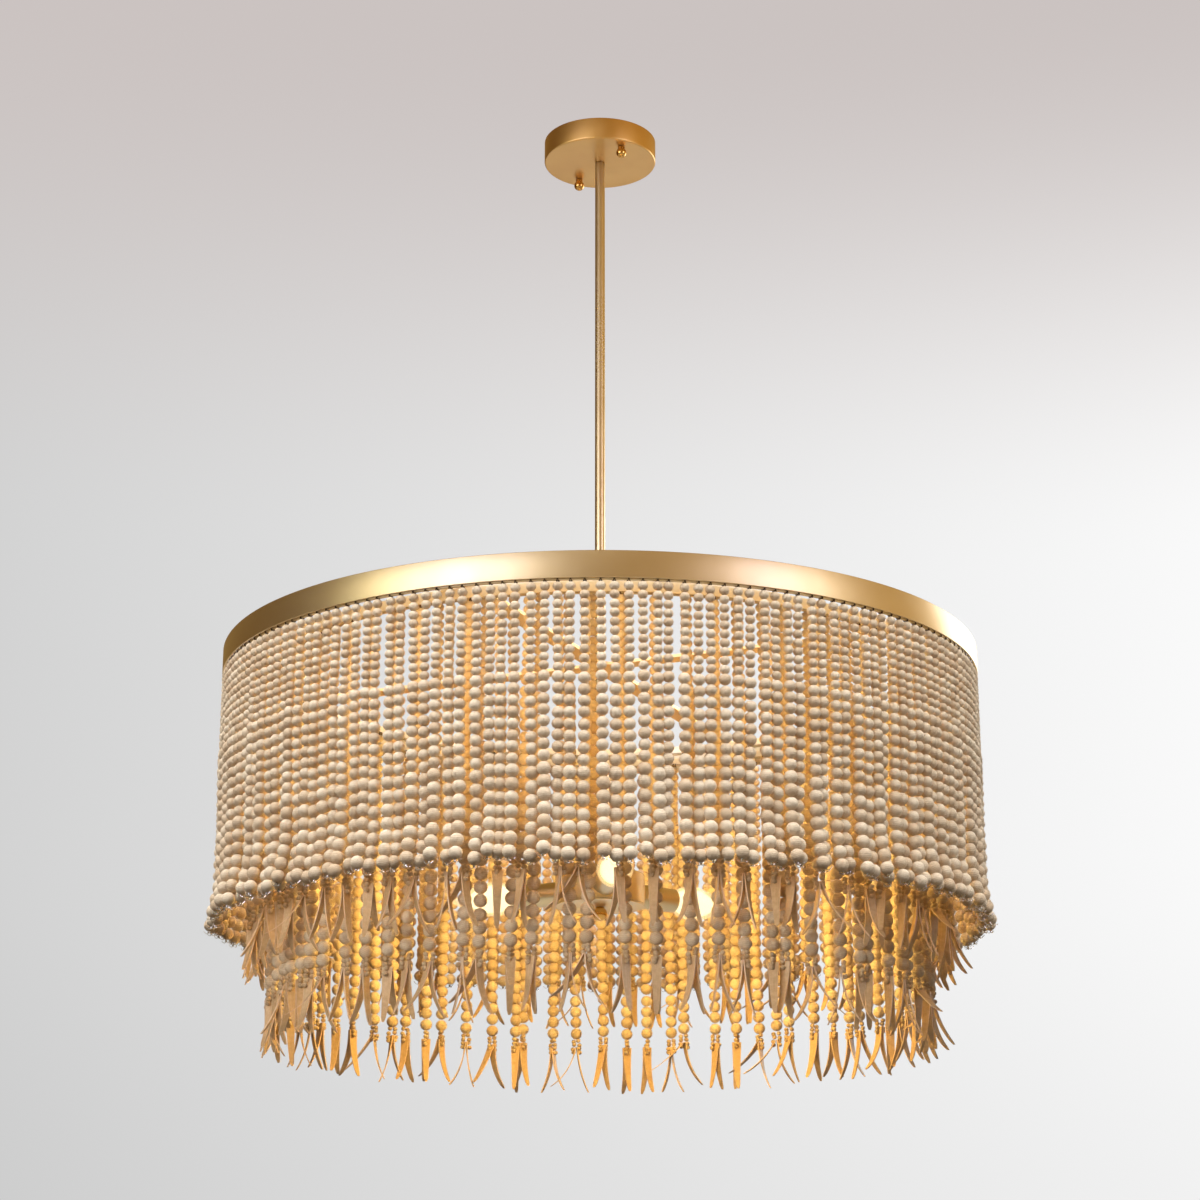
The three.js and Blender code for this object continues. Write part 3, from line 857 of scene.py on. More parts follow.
class GrowthTree(Graph):
    """A geometry node tree with named inputs, whose result is made a plain mesh."""

    def __init__(self, name: str) -> None:
        """Makes the tree with its input and output.

        Args:
            name: The tree's name.
        """
        super().__init__(bpy.data.node_groups.new(name, "GeometryNodeTree"))
        self.tree.interface.new_socket("Geometry", in_out="OUTPUT", socket_type="NodeSocketGeometry")
        self.material_input = self.size("Material", "NodeSocketMaterial")

    def size(self, name: str, kind: str = "NodeSocketFloat") -> Signal:
        """A named input of the tree."""
        self.tree.interface.new_socket(name, in_out="INPUT", socket_type=kind)
        return self.node("NodeGroupInput").other(name)

    def random(self, key: Signal, low: float, high: float, seed: int) -> Signal:
        """A random number for each key, the same at every run."""
        sockets = {"Min": low, "Max": high, "ID": key, "Seed": seed}
        return self.node("FunctionNodeRandomValue", {"data_type": "FLOAT"}, sockets)

    def store(self, geometry: Signal, name: str, value: Signal, kind: str = "FLOAT") -> Signal:
        """Geometry that keeps a value at each point under a name.

        Args:
            geometry: The geometry.
            name: The name that the value is stored under.
            value: The value.
            kind: The value's data type.

        Returns:
            The geometry with the value.
        """
        settings = {"data_type": kind, "domain": "POINT"}
        sockets = {"Geometry": geometry, "Name": name, "Value": value}
        return self.node("GeometryNodeStoreNamedAttribute", settings, sockets)

    def stored(self, name: str, kind: str = "FLOAT") -> Signal:
        """A value that was stored at each point under a name."""
        return self.node("GeometryNodeInputNamedAttribute", {"data_type": kind}, {"Name": name})

    def points(self, count: Signal, place: Signal) -> Signal:
        """Loose points at their places."""
        return self.node("GeometryNodePoints", {}, {"Count": count, "Position": place})

    def close(self, instances: Signal, place: Signal | None = None) -> None:
        """Ends the tree: the instances made real, moved if a place is given, and dressed.

        Args:
            instances: What has grown.
            place: Where each point goes, if it isn't there yet.
        """
        real = self.node("GeometryNodeRealizeInstances", {}, {"Geometry": instances})
        if place is not None:
            real = self.node("GeometryNodeSetPosition", {}, {"Geometry": real, "Position": place})
        smooth = self.node("GeometryNodeSetShadeSmooth", {}, {"Geometry": real})
        sockets = {"Geometry": smooth, "Material": self.material_input}
        dressed = self.node("GeometryNodeSetMaterial", {}, sockets)
        self.node("NodeGroupOutput", {}, {"Geometry": dressed})

    def grow(self, sizes: Mapping[str, Any], crease: float | None = None) -> bpy.types.Mesh:
        """Runs the tree with its inputs set.

        Args:
            sizes: Values of the tree's inputs by their names.
            crease: Angle past which an edge is left sharp, if any is.

        Returns:
            The plain mesh.
        """
        holder = bpy.data.objects.new("grower", bpy.data.meshes.new("grower"))
        bpy.context.scene.collection.objects.link(holder)
        modifier = holder.modifiers.new("grower", "NODES")
        modifier.node_group = self.tree
        for item in self.tree.interface.items_tree:
            if item.in_out == "INPUT" and item.name in sizes:
                modifier[item.identifier] = sizes[item.name]
        depsgraph = bpy.context.evaluated_depsgraph_get()
        shown = holder.evaluated_get(depsgraph)
        mesh = bpy.data.meshes.new_from_object(shown, preserve_all_data_layers=True, depsgraph=depsgraph)
        holder.modifiers.remove(modifier)
        bpy.data.objects.remove(holder)
        if crease is not None:
            mesh.set_sharp_from_angle(angle=crease)
        return mesh


class Seed(IntEnum):
    """The random streams, so that each choice stays the same at every run."""

    SET_BACK = 11
    DRIFT = 12
    LIFT = 13
    SPREAD = 14
    GAP = 21
    TONE = 22
    WIDTH = 23
    HEIGHT = 24
    TILT_X = 25
    TILT_Y = 26
    SPIN = 27
    FITTING = 31
    FACING = 41
    SEED_OUT = 42
    SEED_ACROSS = 43
    SEED_TONE = 44
    SEED_TILT_X = 45
    SEED_TILT_Y = 46
    LEAN = 51
    SPLAY = 52
    CURL = 53
    LEAF_LENGTH = 54
    TWIST = 55


class StrandTree(GrowthTree):
    """A growth tree whose things hang on a ring of threads that sway a little."""

    SWAY_ABOVE = 0.25
    RIPPLE = 1.4
    RIPPLE_LENGTH = 2.2
    STRAND_STEP = 7.31
    RIPPLE_ROW = 0.5
    SETTLED = (0.3, 1.0)
    LOOSE_SHARE = 0.7
    FLARE_EASE = 1.3
    FLARE_REACHED = 0.866

    def __init__(self, name: str) -> None:
        """Makes the tree with the inputs that every strand tree has.

        Args:
            name: The tree's name.
        """
        super().__init__(name)
        self.strands = self.size("Strands", "NodeSocketInt")
        self.phase = self.size("Phase")
        self.radius = self.size("Radius")
        self.top = self.size("Top")
        self.length = self.size("Length")
        self.sway = self.size("Sway")
        self.spread = self.size("Spread")
        self.lift = self.size("Lift")
        self.stagger = self.size("Stagger")
        self.flare = self.size("Flare")
        self.flare_length = self.size("Flare length")
        self.index = self.node("GeometryNodeInputIndex")

    def split(self, number: Signal, share: Operand) -> tuple[Signal, Signal]:
        """How many whole shares a number holds, and what is left."""
        whole = ((number + 0.5) / share).math("FLOOR")
        return whole, number - whole * share

    def angle(self, strand: Signal) -> Signal:
        """Plan angle of a strand, which is tied a little off its even place on the rail."""
        shift = self.random(strand, -1.0, 1.0, Seed.SPREAD) * self.spread / self.radius
        return (strand + self.phase) / self.strands * TAU + shift

    def close_with_balls(self, points: Signal, facets: Settings, turn: Signal, scale: Signal) -> None:
        """Ends the tree with a ball at each point, which keeps its own places for its finish.

        Args:
            points: Where the balls go.
            facets: The ball's own sockets.
            turn: Each ball's turn.
            scale: Each ball's size along its axes.
        """
        ball = self.node("GeometryNodeMeshUVSphere", {}, facets)
        ball = self.store(ball, "bead_place", self.node("GeometryNodeInputPosition"), "FLOAT_VECTOR")
        sockets = {"Points": points, "Instance": ball, "Rotation": turn, "Scale": scale}
        self.close(self.node("GeometryNodeInstanceOnPoints", {}, sockets))

    def hang(self, strand: Signal, level: Operand) -> Signal:
        """Place of a strand's thread at a level: plumb at the rail, looser towards its foot.

        Args:
            strand: The strand's number round the ring.
            level: Height in the object's frame, before the strand's own small lift.

        Returns:
            The place.
        """
        depth = (self.top - level) / self.length
        low = self.ease(depth, *self.SETTLED)
        odd = (strand + self.random(strand, 0.0, self.LOOSE_SHARE, Seed.SET_BACK)).math("MODULO", 2.0)
        flare_start = self.top - self.length + self.flare_length
        opened = self.ease((flare_start - level) / self.flare_length, 0.0, self.FLARE_EASE)
        flared = (opened / self.FLARE_REACHED).math("MINIMUM", 1.0)
        reach = self.radius + self.flare * flared - self.stagger * low * odd.math("MINIMUM", 1.0)
        place = self.vector(strand * self.STRAND_STEP, depth * self.RIPPLE_LENGTH, self.RIPPLE_ROW)
        ripple = self.noise(place, 1.0, 1.0)
        drift = self.random(strand, -1.0, 1.0, Seed.DRIFT) * (depth + self.SWAY_ABOVE)
        sideways = self.sway * (drift + (ripple - 0.5) * self.RIPPLE)
        rise = self.lift * self.random(strand, 0.0, 1.0, Seed.LIFT) * depth
        angle = self.angle(strand)
        cosine, sine = angle.math("COSINE"), angle.math("SINE")
        x = reach * cosine - sideways * sine
        return self.vector(x, reach * sine + sideways * cosine, rise + level)


class BeadTree(StrandTree):
    """Beads of one size, threaded on every strand of a ring."""

    FACETS = {"Segments": 10, "Rings": 6, "Radius": 0.5}
    LOOSE = 0.05
    WIDTHS = (0.97, 1.01)
    HEIGHTS = (1.0, 1.05)
    TILT = 0.12

    def __init__(self) -> None:
        """Builds the tree."""
        super().__init__("bead_strands")
        beads = self.size("Beads", "NodeSocketInt")
        first = self.size("First level")
        pitch = self.size("Pitch")
        width = self.size("Width")
        strand, bead = self.split(self.index, beads)
        loose = self.random(self.index, -self.LOOSE, self.LOOSE, Seed.GAP)
        place = self.hang(strand, first - (bead + 0.5 + loose) * pitch)
        points = self.points(self.strands * beads, place)
        points = self.store(points, "bead_tone", self.random(self.index, 0.0, 1.0, Seed.TONE))
        across = width * self.random(self.index, *self.WIDTHS, Seed.WIDTH)
        turn = self.vector(
            self.random(self.index, -self.TILT, self.TILT, Seed.TILT_X),
            self.random(self.index, -self.TILT, self.TILT, Seed.TILT_Y),
            self.random(self.index, 0.0, TAU, Seed.SPIN),
        )
        high = pitch * self.random(self.index, *self.HEIGHTS, Seed.HEIGHT)
        self.close_with_balls(points, self.FACETS, turn, self.vector(across, across, high))


class EndTree(StrandTree):
    """One small fitting, such as a knot or a crimp, at the same level on every strand."""

    def __init__(self) -> None:
        """Builds the tree."""
        super().__init__("strand_fittings")
        fitting = self.size("Fitting", "NodeSocketObject")
        level = self.size("Level")
        scatter = self.size("Scatter")
        points = self.points(self.strands, self.hang(self.index, level))
        part = self.node("GeometryNodeObjectInfo", {}, {"Object": fitting}).other("Geometry")
        turn = self.angle(self.index) + self.random(self.index, -1.0, 1.0, Seed.FITTING) * scatter
        sockets = {"Points": points, "Instance": part, "Rotation": self.vector(0.0, 0.0, turn)}
        self.close(self.node("GeometryNodeInstanceOnPoints", {}, sockets))


class SeedTree(StrandTree):
    """Seed beads on both sides of the loop at each strand's foot, the last pair over the leaves."""

    PER_LOOP = 8
    GOLDEN_TURN = math.radians(137.5)
    COLUMN = 0.5
    WIDENING = 0.05
    FIRST_DROP = 0.44
    ROW_PITCH = 0.78
    OFFSET_ACROSS = 0.36
    JITTER = 0.14
    FACING_LOOSE = 0.3
    SKEW = (0.3, 1.0)
    TILT = 0.7
    SQUASH = 0.88
    FACETS = {"Segments": 8, "Rings": 5, "Radius": 0.5}

    def __init__(self, name: str = "seed_loops") -> None:
        """Builds the tree.

        Args:
            name: The tree's name.
        """
        super().__init__(name)
        self.build()

    def facing(self, strand: Signal) -> Signal:
        """Plan angle of a pendant's width, which turns on from one pendant to the next."""
        loose = self.random(strand, -self.FACING_LOOSE, self.FACING_LOOSE, Seed.FACING)
        return (strand + self.phase) / self.strands * TAU + strand * self.GOLDEN_TURN + loose

    def turned_place(
        self, strand: Signal, foot: Signal, across: Operand, out: Operand, drop: Operand
    ) -> Signal:
        """A place in a pendant's own axes.

        Args:
            strand: The strand's number round the ring.
            foot: Level of the strand's last bead's underside.
            across: Distance along the leaves' width.
            out: Distance square to the leaves.
            drop: Distance below the foot.

        Returns:
            The place in the object's frame.
        """
        base = self.node("ShaderNodeSeparateXYZ", {}, {"Vector": self.hang(strand, foot)})
        facing = self.facing(strand)
        cosine, sine = facing.math("COSINE"), facing.math("SINE")
        x = base + across * cosine - out * sine
        y = base.other("Y") + across * sine + out * cosine
        return self.vector(x, y, base.other("Z") - drop)

    def build(self) -> None:
        """Adds the seeds, row by row down both sides of the loop."""
        diameter = self.size("Diameter")
        strand, seed = self.split(self.index, self.PER_LOOP)
        row, side = self.split(seed, 2.0)
        sign = side * 2.0 - 1.0
        jitter = self.random(self.index, -self.JITTER, self.JITTER, Seed.SEED_OUT)
        out = sign * (row * self.WIDENING + jitter + self.COLUMN) * diameter
        skew = self.random(self.index, *self.SKEW, Seed.SEED_ACROSS)
        across = sign * skew * diameter * self.OFFSET_ACROSS
        drop = (row * self.ROW_PITCH + jitter + self.FIRST_DROP) * diameter
        place = self.turned_place(strand, self.top - self.length, across, out, drop)
        points = self.points(self.strands * self.PER_LOOP, place)
        points = self.store(points, "bead_tone", self.random(self.index, 0.0, 1.0, Seed.SEED_TONE))
        tilt_x = self.random(self.index, -self.TILT, self.TILT, Seed.SEED_TILT_X)
        tilt_y = self.random(self.index, -self.TILT, self.TILT, Seed.SEED_TILT_Y)
        scale = self.vector(diameter, diameter, diameter * self.SQUASH)
        self.close_with_balls(points, self.FACETS, self.vector(tilt_x, tilt_y, 0.0), scale)


class LeafTree(SeedTree):
    """A pair of leather leaves at each strand's foot, which lie together and then curl apart."""

    CURL = (0.2, 0.75)
    CURL_START = 1.3
    LEAN = 0.05
    SPLAY = 1.1
    SPLAY_POWER = 10.0
    TWIST = 0.5
    TIP_START = 0.9
    TIP_END = 1.02
    TIP_LOSS = 0.55
    LENGTHS = (0.94, 1.0)
    APART = 0.6
    STRIP = {"Size": (1.0, 1.0, 1.0), "Vertices X": 3, "Vertices Y": 2, "Vertices Z": 13}

    def __init__(self) -> None:
        """Builds the tree."""
        super().__init__("leaf_pairs")

    def build(self) -> None:
        """Adds the leaves: flat bars first, which are then bent leaf by leaf."""
        drop = self.size("Drop")
        long = self.size("Leaf length")
        wide = self.size("Leaf width")
        tip = self.size("Tip width")
        thick = self.size("Thickness")
        leaves = self.strands * 2.0
        points = self.store(self.points(leaves, self.vector(0.0, 0.0, 0.0)), "leaf", self.index)
        strip = self.node("GeometryNodeMeshCube", {}, self.STRIP)
        strip = self.store(strip, "leaf_place", self.node("GeometryNodeInputPosition"), "FLOAT_VECTOR")
        flat = self.node("GeometryNodeInstanceOnPoints", {}, {"Points": points, "Instance": strip})
        leaf = self.stored("leaf")
        strand, side = self.split(leaf, 2.0)
        sign = side * 2.0 - 1.0
        own_place = self.stored("leaf_place", "FLOAT_VECTOR")
        parts = self.node("ShaderNodeSeparateXYZ", {}, {"Vector": own_place})
        along = 0.5 - parts.other("Z")
        splay = self.random(leaf, 0.0, 1.0, Seed.SPLAY) ** self.SPLAY_POWER * self.SPLAY
        lean = self.random(leaf, 0.0, self.LEAN, Seed.LEAN) + splay
        bend = lean + self.random(leaf, *self.CURL, Seed.CURL) * along**self.CURL_START * 0.5
        reach = long * self.random(leaf, *self.LENGTHS, Seed.LEAF_LENGTH) * along
        narrowing = 1.0 - self.ease(along, self.TIP_START, self.TIP_END) * self.TIP_LOSS
        taper = (wide + (tip - wide) * along) * narrowing
        twist = self.random(leaf, -self.TWIST, self.TWIST, Seed.TWIST) * along
        flat_out = parts.other("Y") * thick
        across = parts * taper * twist.math("COSINE") - flat_out * twist.math("SINE")
        spread = sign * (thick * self.APART + reach * bend.math("SINE"))
        out = spread + parts * taper * twist.math("SINE") + flat_out
        fall = drop + reach * bend.math("COSINE")
        self.close(flat, self.turned_place(strand, self.top - self.length, across, out, fall))


# Sub-assemblies


FRAME: dict[str, Any] = {}
LAMP_COUNT = 3


def extent(node: str) -> tuple[float, float, float]:
    """A round node's radius, and its lowest and highest level."""
    low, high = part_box(node)
    return (high.x - low.x) / 2, low.z, high.z


@dataclass
class Mounting:
    """Canopy with its crossbar, studs and ball nuts."""

    wall: float = 1.2 * MM
    edge: float = 1.6 * MM
    fine: float = 0.36 * MM
    hole: float = 3.5 * MM
    segments: int = 128
    pan_finish: Metal = Metal(shade(216, 174, 104), shade(208, 164, 96))
    ball_radius: float = 5.5 * MM
    neck_radius: float = 3.75 * MM
    neck_height: float = 2.6 * MM
    kept: tuple[str, ...] = (
        "ceiling_crossbar",
        "canopy_stud_1",
        "canopy_stud_2",
        "canopy_nipple",
        "canopy_nipple_nut",
    )

    def build(self) -> None:
        """Builds the canopy and both ball nuts, and dresses the hidden hardware."""
        radius, low, high = extent("canopy")
        outline = [
            (radius - self.wall, high, self.fine),
            (radius, high, self.fine),
            (radius, low, self.edge),
            (self.hole, low, self.fine),
            (self.hole, low + self.wall, self.fine),
            (radius - self.wall, low + self.wall, self.edge / 2),
        ]
        pan = turned(rounded(outline), self.segments)
        place_piece(pan, "canopy_pan", Slot.SATIN_GOLD, "fixture", ["canopy"], self.pan_finish)
        for number in (1, 2):
            self._ball_nut(number)
        for node in self.kept:
            dress_node(node, Slot.ZINC_STEEL)

    def _ball_nut(self, number: int) -> None:
        """Builds a ball nut with its neck in its node's place.

        Args:
            number: The ball nut's number.
        """
        node = f"canopy_ball_nut_{number}"
        low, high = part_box(node)
        ball = knob(self.ball_radius, self.neck_radius, self.neck_height)
        centre = Vector(((low.x + high.x) / 2, (low.y + high.y) / 2, high.z))
        place_piece(
            moved(ball, Matrix.Translation(centre)),
            f"ball_nut_{number}",
            Slot.POLISHED_BRASS,
            f"ball_nut_{number}",
            [node],
        )


@dataclass
class HoopFrame:
    """Stem, spider arms, outer band and both inner hoops."""

    wall: float = 2.0 * MM
    edge: float = 0.35 * MM
    edge_steps: int = 3
    bore_share: float = 0.66
    stem_segments: int = 48
    band_segments: int = 256
    hoop_segments: int = 192
    hoop_height: float = 9.5 * MM
    arm_count: int = 4
    arms_bearing: float = math.radians(66.5)
    strap_width: float = 12.0 * MM
    strap_overlap: float = 5.0 * MM
    # The inner hoops' finish is the satin gold painted paler and half diffuse: painted light, so the hoops
    # look lit through the gaps.
    hidden_finish: Metal = Metal(shade(246, 232, 204), shade(240, 222, 188), metallic=0.6, roughness=0.5)
    # The spider arms' finish is rougher and unlacquered, and painted paler and warmer than the satin gold:
    # painted lamp light on the arms.
    arms_finish: Metal = Metal(shade(244, 212, 150), shade(236, 200, 136), roughness=0.45, lacquer=0.0)

    def build(self) -> None:
        """Builds the round pieces and dresses the flat ones."""
        for node in ("stem_upper", "stem_lower"):
            self._tube(node)
        self._hoop("outer_band", self.band_segments)
        arms_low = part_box("spider_plate")[0].z
        for node in ("middle_hoop", "inner_hoop"):
            self._hoop(node, self.hoop_segments, arms_low)
        # The arms take the finish with painted lamp light.
        dress_node("spider_plate", Slot.SATIN_GOLD, self.arms_finish)
        dress_node("stem_coupling", Slot.ZINC_STEEL)

    def _tube(self, node: str) -> None:
        """Builds a piece of the stem.

        Args:
            node: The stem piece's node.
        """
        radius, low, high = extent(node)
        bore = radius * self.bore_share
        corners = [(bore, low), (radius, low), (radius, high), (bore, high)]
        outline = rounded([(*corner, self.edge) for corner in corners])
        tube = turned(outline, self.stem_segments)
        place_piece(tube, f"{node}_tube", Slot.SATIN_GOLD, "fixture", [node])

    def _hoop(self, node: str, segments: int, arms_low: float | None = None) -> None:
        """Builds a hoop, with straps up to the arms where its node reaches them.

        Args:
            node: The hoop's node.
            segments: How many faces go round it.
            arms_low: Level of the arms' underside, for a hoop that hangs inside the drum.
        """
        low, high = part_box(node)
        hangs = arms_low is not None and high.z > arms_low - self.strap_width
        top = low.z + self.hoop_height if hangs else high.z
        outer, inner = high.x, high.x - self.wall
        corners = [(inner, low.z), (outer, low.z), (outer, top), (inner, top)]
        outline = rounded([(*corner, self.edge) for corner in corners], self.edge_steps)
        work = bmesh.new()
        work.from_mesh(turned(outline, segments))
        for arm in range(self.arm_count if hangs else 0):
            half = self.strap_width / 2
            start = Vector((inner, -half, top - self.strap_overlap))
            turn = self.arms_bearing + arm * TAU / self.arm_count
            bar(start, Vector((outer, half, high.z)), turn, work, self.edge)
        # Inner hoops take the finish with painted light, paler than the band's gold.
        finish = None if arms_low is None else self.hidden_finish
        place_piece(finished(work), f"{node}_ring", Slot.SATIN_GOLD, "fixture", [node], finish)


@dataclass(frozen=True)
class BeadSize:
    """One stock size of bead, a little wider than the room it takes on its thread."""

    name: str
    width: float
    pitch: float


BEAD_SIZES = (
    BeadSize("small", 9.4 * MM, 8.2 * MM),
    BeadSize("medium", 11.4 * MM, 10.4 * MM),
    BeadSize("large", 13.0 * MM, 12.05 * MM),
)


@dataclass(frozen=True)
class Pendant:
    """Seed beads and leaves at a strand's foot."""

    seed: float = 5.2 * MM
    drop: float = 9.2 * MM
    leaf_length: float = 51.4 * MM
    leaf_width: float = 9.8 * MM
    tip_width: float = 4.0 * MM
    thickness: float = 1.2 * MM
    crease: float = math.radians(50.0)

    @property
    def leaf_inputs(self) -> dict[str, float]:
        """The leaf tree's own inputs.

        Returns:
            Values by the inputs' names.
        """
        return {
            "Drop": self.drop,
            "Leaf length": self.leaf_length,
            "Leaf width": self.leaf_width,
            "Tip width": self.tip_width,
            "Thickness": self.thickness,
        }


class StrandEnd(Enum):
    """What hangs at a strand's foot."""

    CRIMP = "crimp"
    PENDANT = "pendant"


@dataclass
class StrandTier:
    """A ring of bead strands under one hoop."""

    name: str
    hoop: str
    slices: int
    counts: tuple[int, int, int]
    strands: int
    end: StrandEnd
    phase: float = 0.0
    inset: float = 4.4 * MM
    rail_radius: float = 1.5 * MM
    rail_sides: int = 12
    rail_segments: int = 256
    thread_lead: float = 0.5 * MM
    sway: float = 3.0 * MM
    spread: float = 4.0 * MM
    lift: float = 2.5 * MM
    stagger: float = 0.0
    flare: float = 0.0
    flare_length: float = 48.2 * MM
    pendant: Pendant = Pendant()
    pieces: list[bpy.types.Object] = field(default_factory=list)

    @property
    def nodes(self) -> list[str]:
        """The frame's nodes that the tier stands for."""
        return [f"{self.name}_{i + 1:02d}" for i in range(self.slices)]

    @property
    def rail_level(self) -> float:
        """Height of the rail's middle, at the hoop's lower edge."""
        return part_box(self.hoop)[0].z

    @property
    def top(self) -> float:
        """Level of the first beads' tops."""
        return self.rail_level - self.rail_radius - self.thread_lead

    @property
    def radius(self) -> float:
        """Radius of the ring of strands."""
        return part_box(self.hoop)[1].x - self.inset

    @property
    def length(self) -> float:
        """Length of a strand's beads."""
        return sum(count * size.pitch for count, size in zip(self.counts, BEAD_SIZES))

    def sizes(self, slot: Slot, **more: Any) -> dict[str, Any]:
        """The inputs that every strand tree takes, with some more.

        Args:
            slot: The material slot whose finish the result takes.
            more: The tree's other inputs.

        Returns:
            Values by the inputs' names.
        """
        return {
            "Material": FINISHES[slot].material(),
            "Strands": self.strands,
            "Phase": self.phase,
            "Radius": self.radius,
            "Top": self.top,
            "Length": self.length,
            "Sway": self.sway,
            "Spread": self.spread,
            "Lift": self.lift,
            "Stagger": self.stagger,
            "Flare": self.flare,
            "Flare length": self.flare_length,
            **more,
        }

    def build(self, trees: TierTrees) -> list[bpy.types.Object]:
        """Builds the rail, knots, beads and what hangs at the strands' feet.

        Args:
            trees: The trees that the tiers share.

        Returns:
            The tier's pieces.
        """
        self._show(self._rail(), "rail", Slot.SATIN_GOLD)
        more = {"Fitting": trees.knot, "Level": self.rail_level, "Scatter": 0.0}
        self._show(trees.fittings.grow(self.sizes(Slot.THREAD, **more)), "knots", Slot.THREAD)
        level = self.top
        for size, count in zip(BEAD_SIZES, self.counts):
            more = {"Beads": count, "First level": level, "Pitch": size.pitch, "Width": size.width}
            mesh = trees.beads.grow(self.sizes(Slot.BEAD_WOOD, **more))
            self._show(mesh, f"{size.name}_beads", Slot.BEAD_WOOD)
            level -= count * size.pitch
        if self.end is StrandEnd.CRIMP:
            more = {"Fitting": trees.crimp, "Level": level, "Scatter": math.pi}
            mesh = trees.fittings.grow(self.sizes(Slot.CRIMP_METAL, **more), trees.crimp_crease)
            self._show(mesh, "crimps", Slot.CRIMP_METAL)
        else:
            mesh = trees.seeds.grow(self.sizes(Slot.SEED_WOOD, Diameter=self.pendant.seed))
            self._show(mesh, "seeds", Slot.SEED_WOOD)
            inputs = self.sizes(Slot.LEAF_LEATHER, **self.pendant.leaf_inputs)
            self._show(trees.leaves.grow(inputs, self.pendant.crease), "leaves", Slot.LEAF_LEATHER)
        return self.pieces

    def _rail(self) -> bpy.types.Mesh:
        """Builds the wire rail that the strands are tied to.

        Returns:
            The rail's mesh.
        """
        outline = []
        for side in range(self.rail_sides):
            turn = TAU * side / self.rail_sides
            out = self.radius + self.rail_radius * math.cos(turn)
            outline.append((out, self.rail_level + self.rail_radius * math.sin(turn)))
        return turned(outline, self.rail_segments)

    def _show(self, mesh: bpy.types.Mesh, part: str, slot: Slot) -> None:
        """Shows a part of the tier."""
        self.pieces.append(place_piece(mesh, f"{self.name}_{part}", slot, "fixture", self.nodes))


@dataclass(frozen=True)
class Knot:
    """Two slanting wraps of thread round the rail, which runs along Y, and the knot under it.

    The drops are the knot's outline: depth and radius in millimetres.
    """

    wrap: float = 1.95 * MM
    thread: float = 0.45 * MM
    thread_sides: int = 4
    slant: float = 1.1 * MM
    overlap: float = 0.25
    steps: int = 10
    sides: int = 6
    drops: tuple[tuple[float, float], ...] = ((-0.2, 0.5), (0.3, 1.0), (0.9, 0.85), (1.6, 0.4))
    crease: float = math.radians(60.0)

    def mesh(self) -> bpy.types.Mesh:
        """The knot's mesh, with the rail's middle at the origin.

        Returns:
            The mesh.
        """
        work = bmesh.new()
        for side in (-1.0, 1.0):
            path = []
            for i in range(self.steps + 1):
                turn = TAU * i / self.steps
                along = side * self.slant * (self.overlap + math.sin(turn / 2))
                path.append(Vector((self.wrap * math.cos(turn), along, self.wrap * math.sin(turn))))
            swept(path, [self.thread] * len(path), self.thread_sides, work)
        path = [Vector((0.0, 0.0, -self.wrap - drop * MM)) for drop, _ in self.drops]
        swept(path, [size * MM for _, size in self.drops], self.sides, work)
        return finished(work, self.crease)


@dataclass(frozen=True)
class Crimp:
    """A squeezed crimp tube with wire tails that spring out under the last bead.

    Its lengths are in millimetres. The tube's outline is depth and radius, and each tail has its
    bearing, its reach and how far its tip rises.
    """

    tube: tuple[tuple[float, float], ...] = (
        (-0.5, 0.7),
        (0.0, 1.25),
        (0.7, 0.95),
        (1.3, 1.0),
        (1.8, 1.25),
        (2.1, 0.7),
    )
    sides: int = 8
    tails: tuple[tuple[float, float, float], ...] = ((0.4, 5.4, 1.6), (2.3, 4.6, 0.9), (4.4, 5.0, 0.2))
    tail_start: tuple[float, float] = (0.3, -1.5)
    tail_turn: float = 0.9
    tail_sag: float = 1.6
    sag_share: float = 0.8
    wire: float = 0.3
    wire_sides: int = 5
    steps: int = 6
    crease: float = math.radians(60.0)

    def mesh(self) -> bpy.types.Mesh:
        """The crimp's mesh, with the last bead's underside at the origin.

        Returns:
            The mesh.
        """
        work = bmesh.new()
        path = [Vector((0.0, 0.0, -drop * MM)) for drop, _ in self.tube]
        swept(path, [size * MM for _, size in self.tube], self.sides, work)
        first_out, first_level = self.tail_start
        for turn, reach, rise in self.tails:
            path = []
            for i in range(self.steps + 1):
                share = i / self.steps
                bearing = turn + self.tail_turn * share
                out = first_out + reach * share
                sag = self.tail_sag * math.sin(math.pi * share * self.sag_share)
                level = first_level - sag + (rise - first_level) * share**2
                place = (out * math.cos(bearing), out * math.sin(bearing), level)
                path.append(Vector(place) * MM)
            swept(path, [self.wire * MM] * len(path), self.wire_sides, work)
        return finished(work, self.crease)


class TierTrees:
    """The trees that the tiers share, with the small fittings that they repeat."""

    crimp_crease = math.radians(40.0)

    def __init__(self) -> None:
        """Builds the trees and the fittings."""
        self.beads = BeadTree()
        self.fittings = EndTree()
        self.seeds = SeedTree()
        self.leaves = LeafTree()
        self.knot = self._fitting("knot", Knot().mesh())
        self.crimp = self._fitting("crimp", Crimp().mesh())

    @staticmethod
    def _fitting(name: str, mesh: bpy.types.Mesh) -> bpy.types.Object:
        """Keeps a fitting's mesh in an object that isn't shown."""
        return bpy.data.objects.new(f"fitting_{name}", mesh)


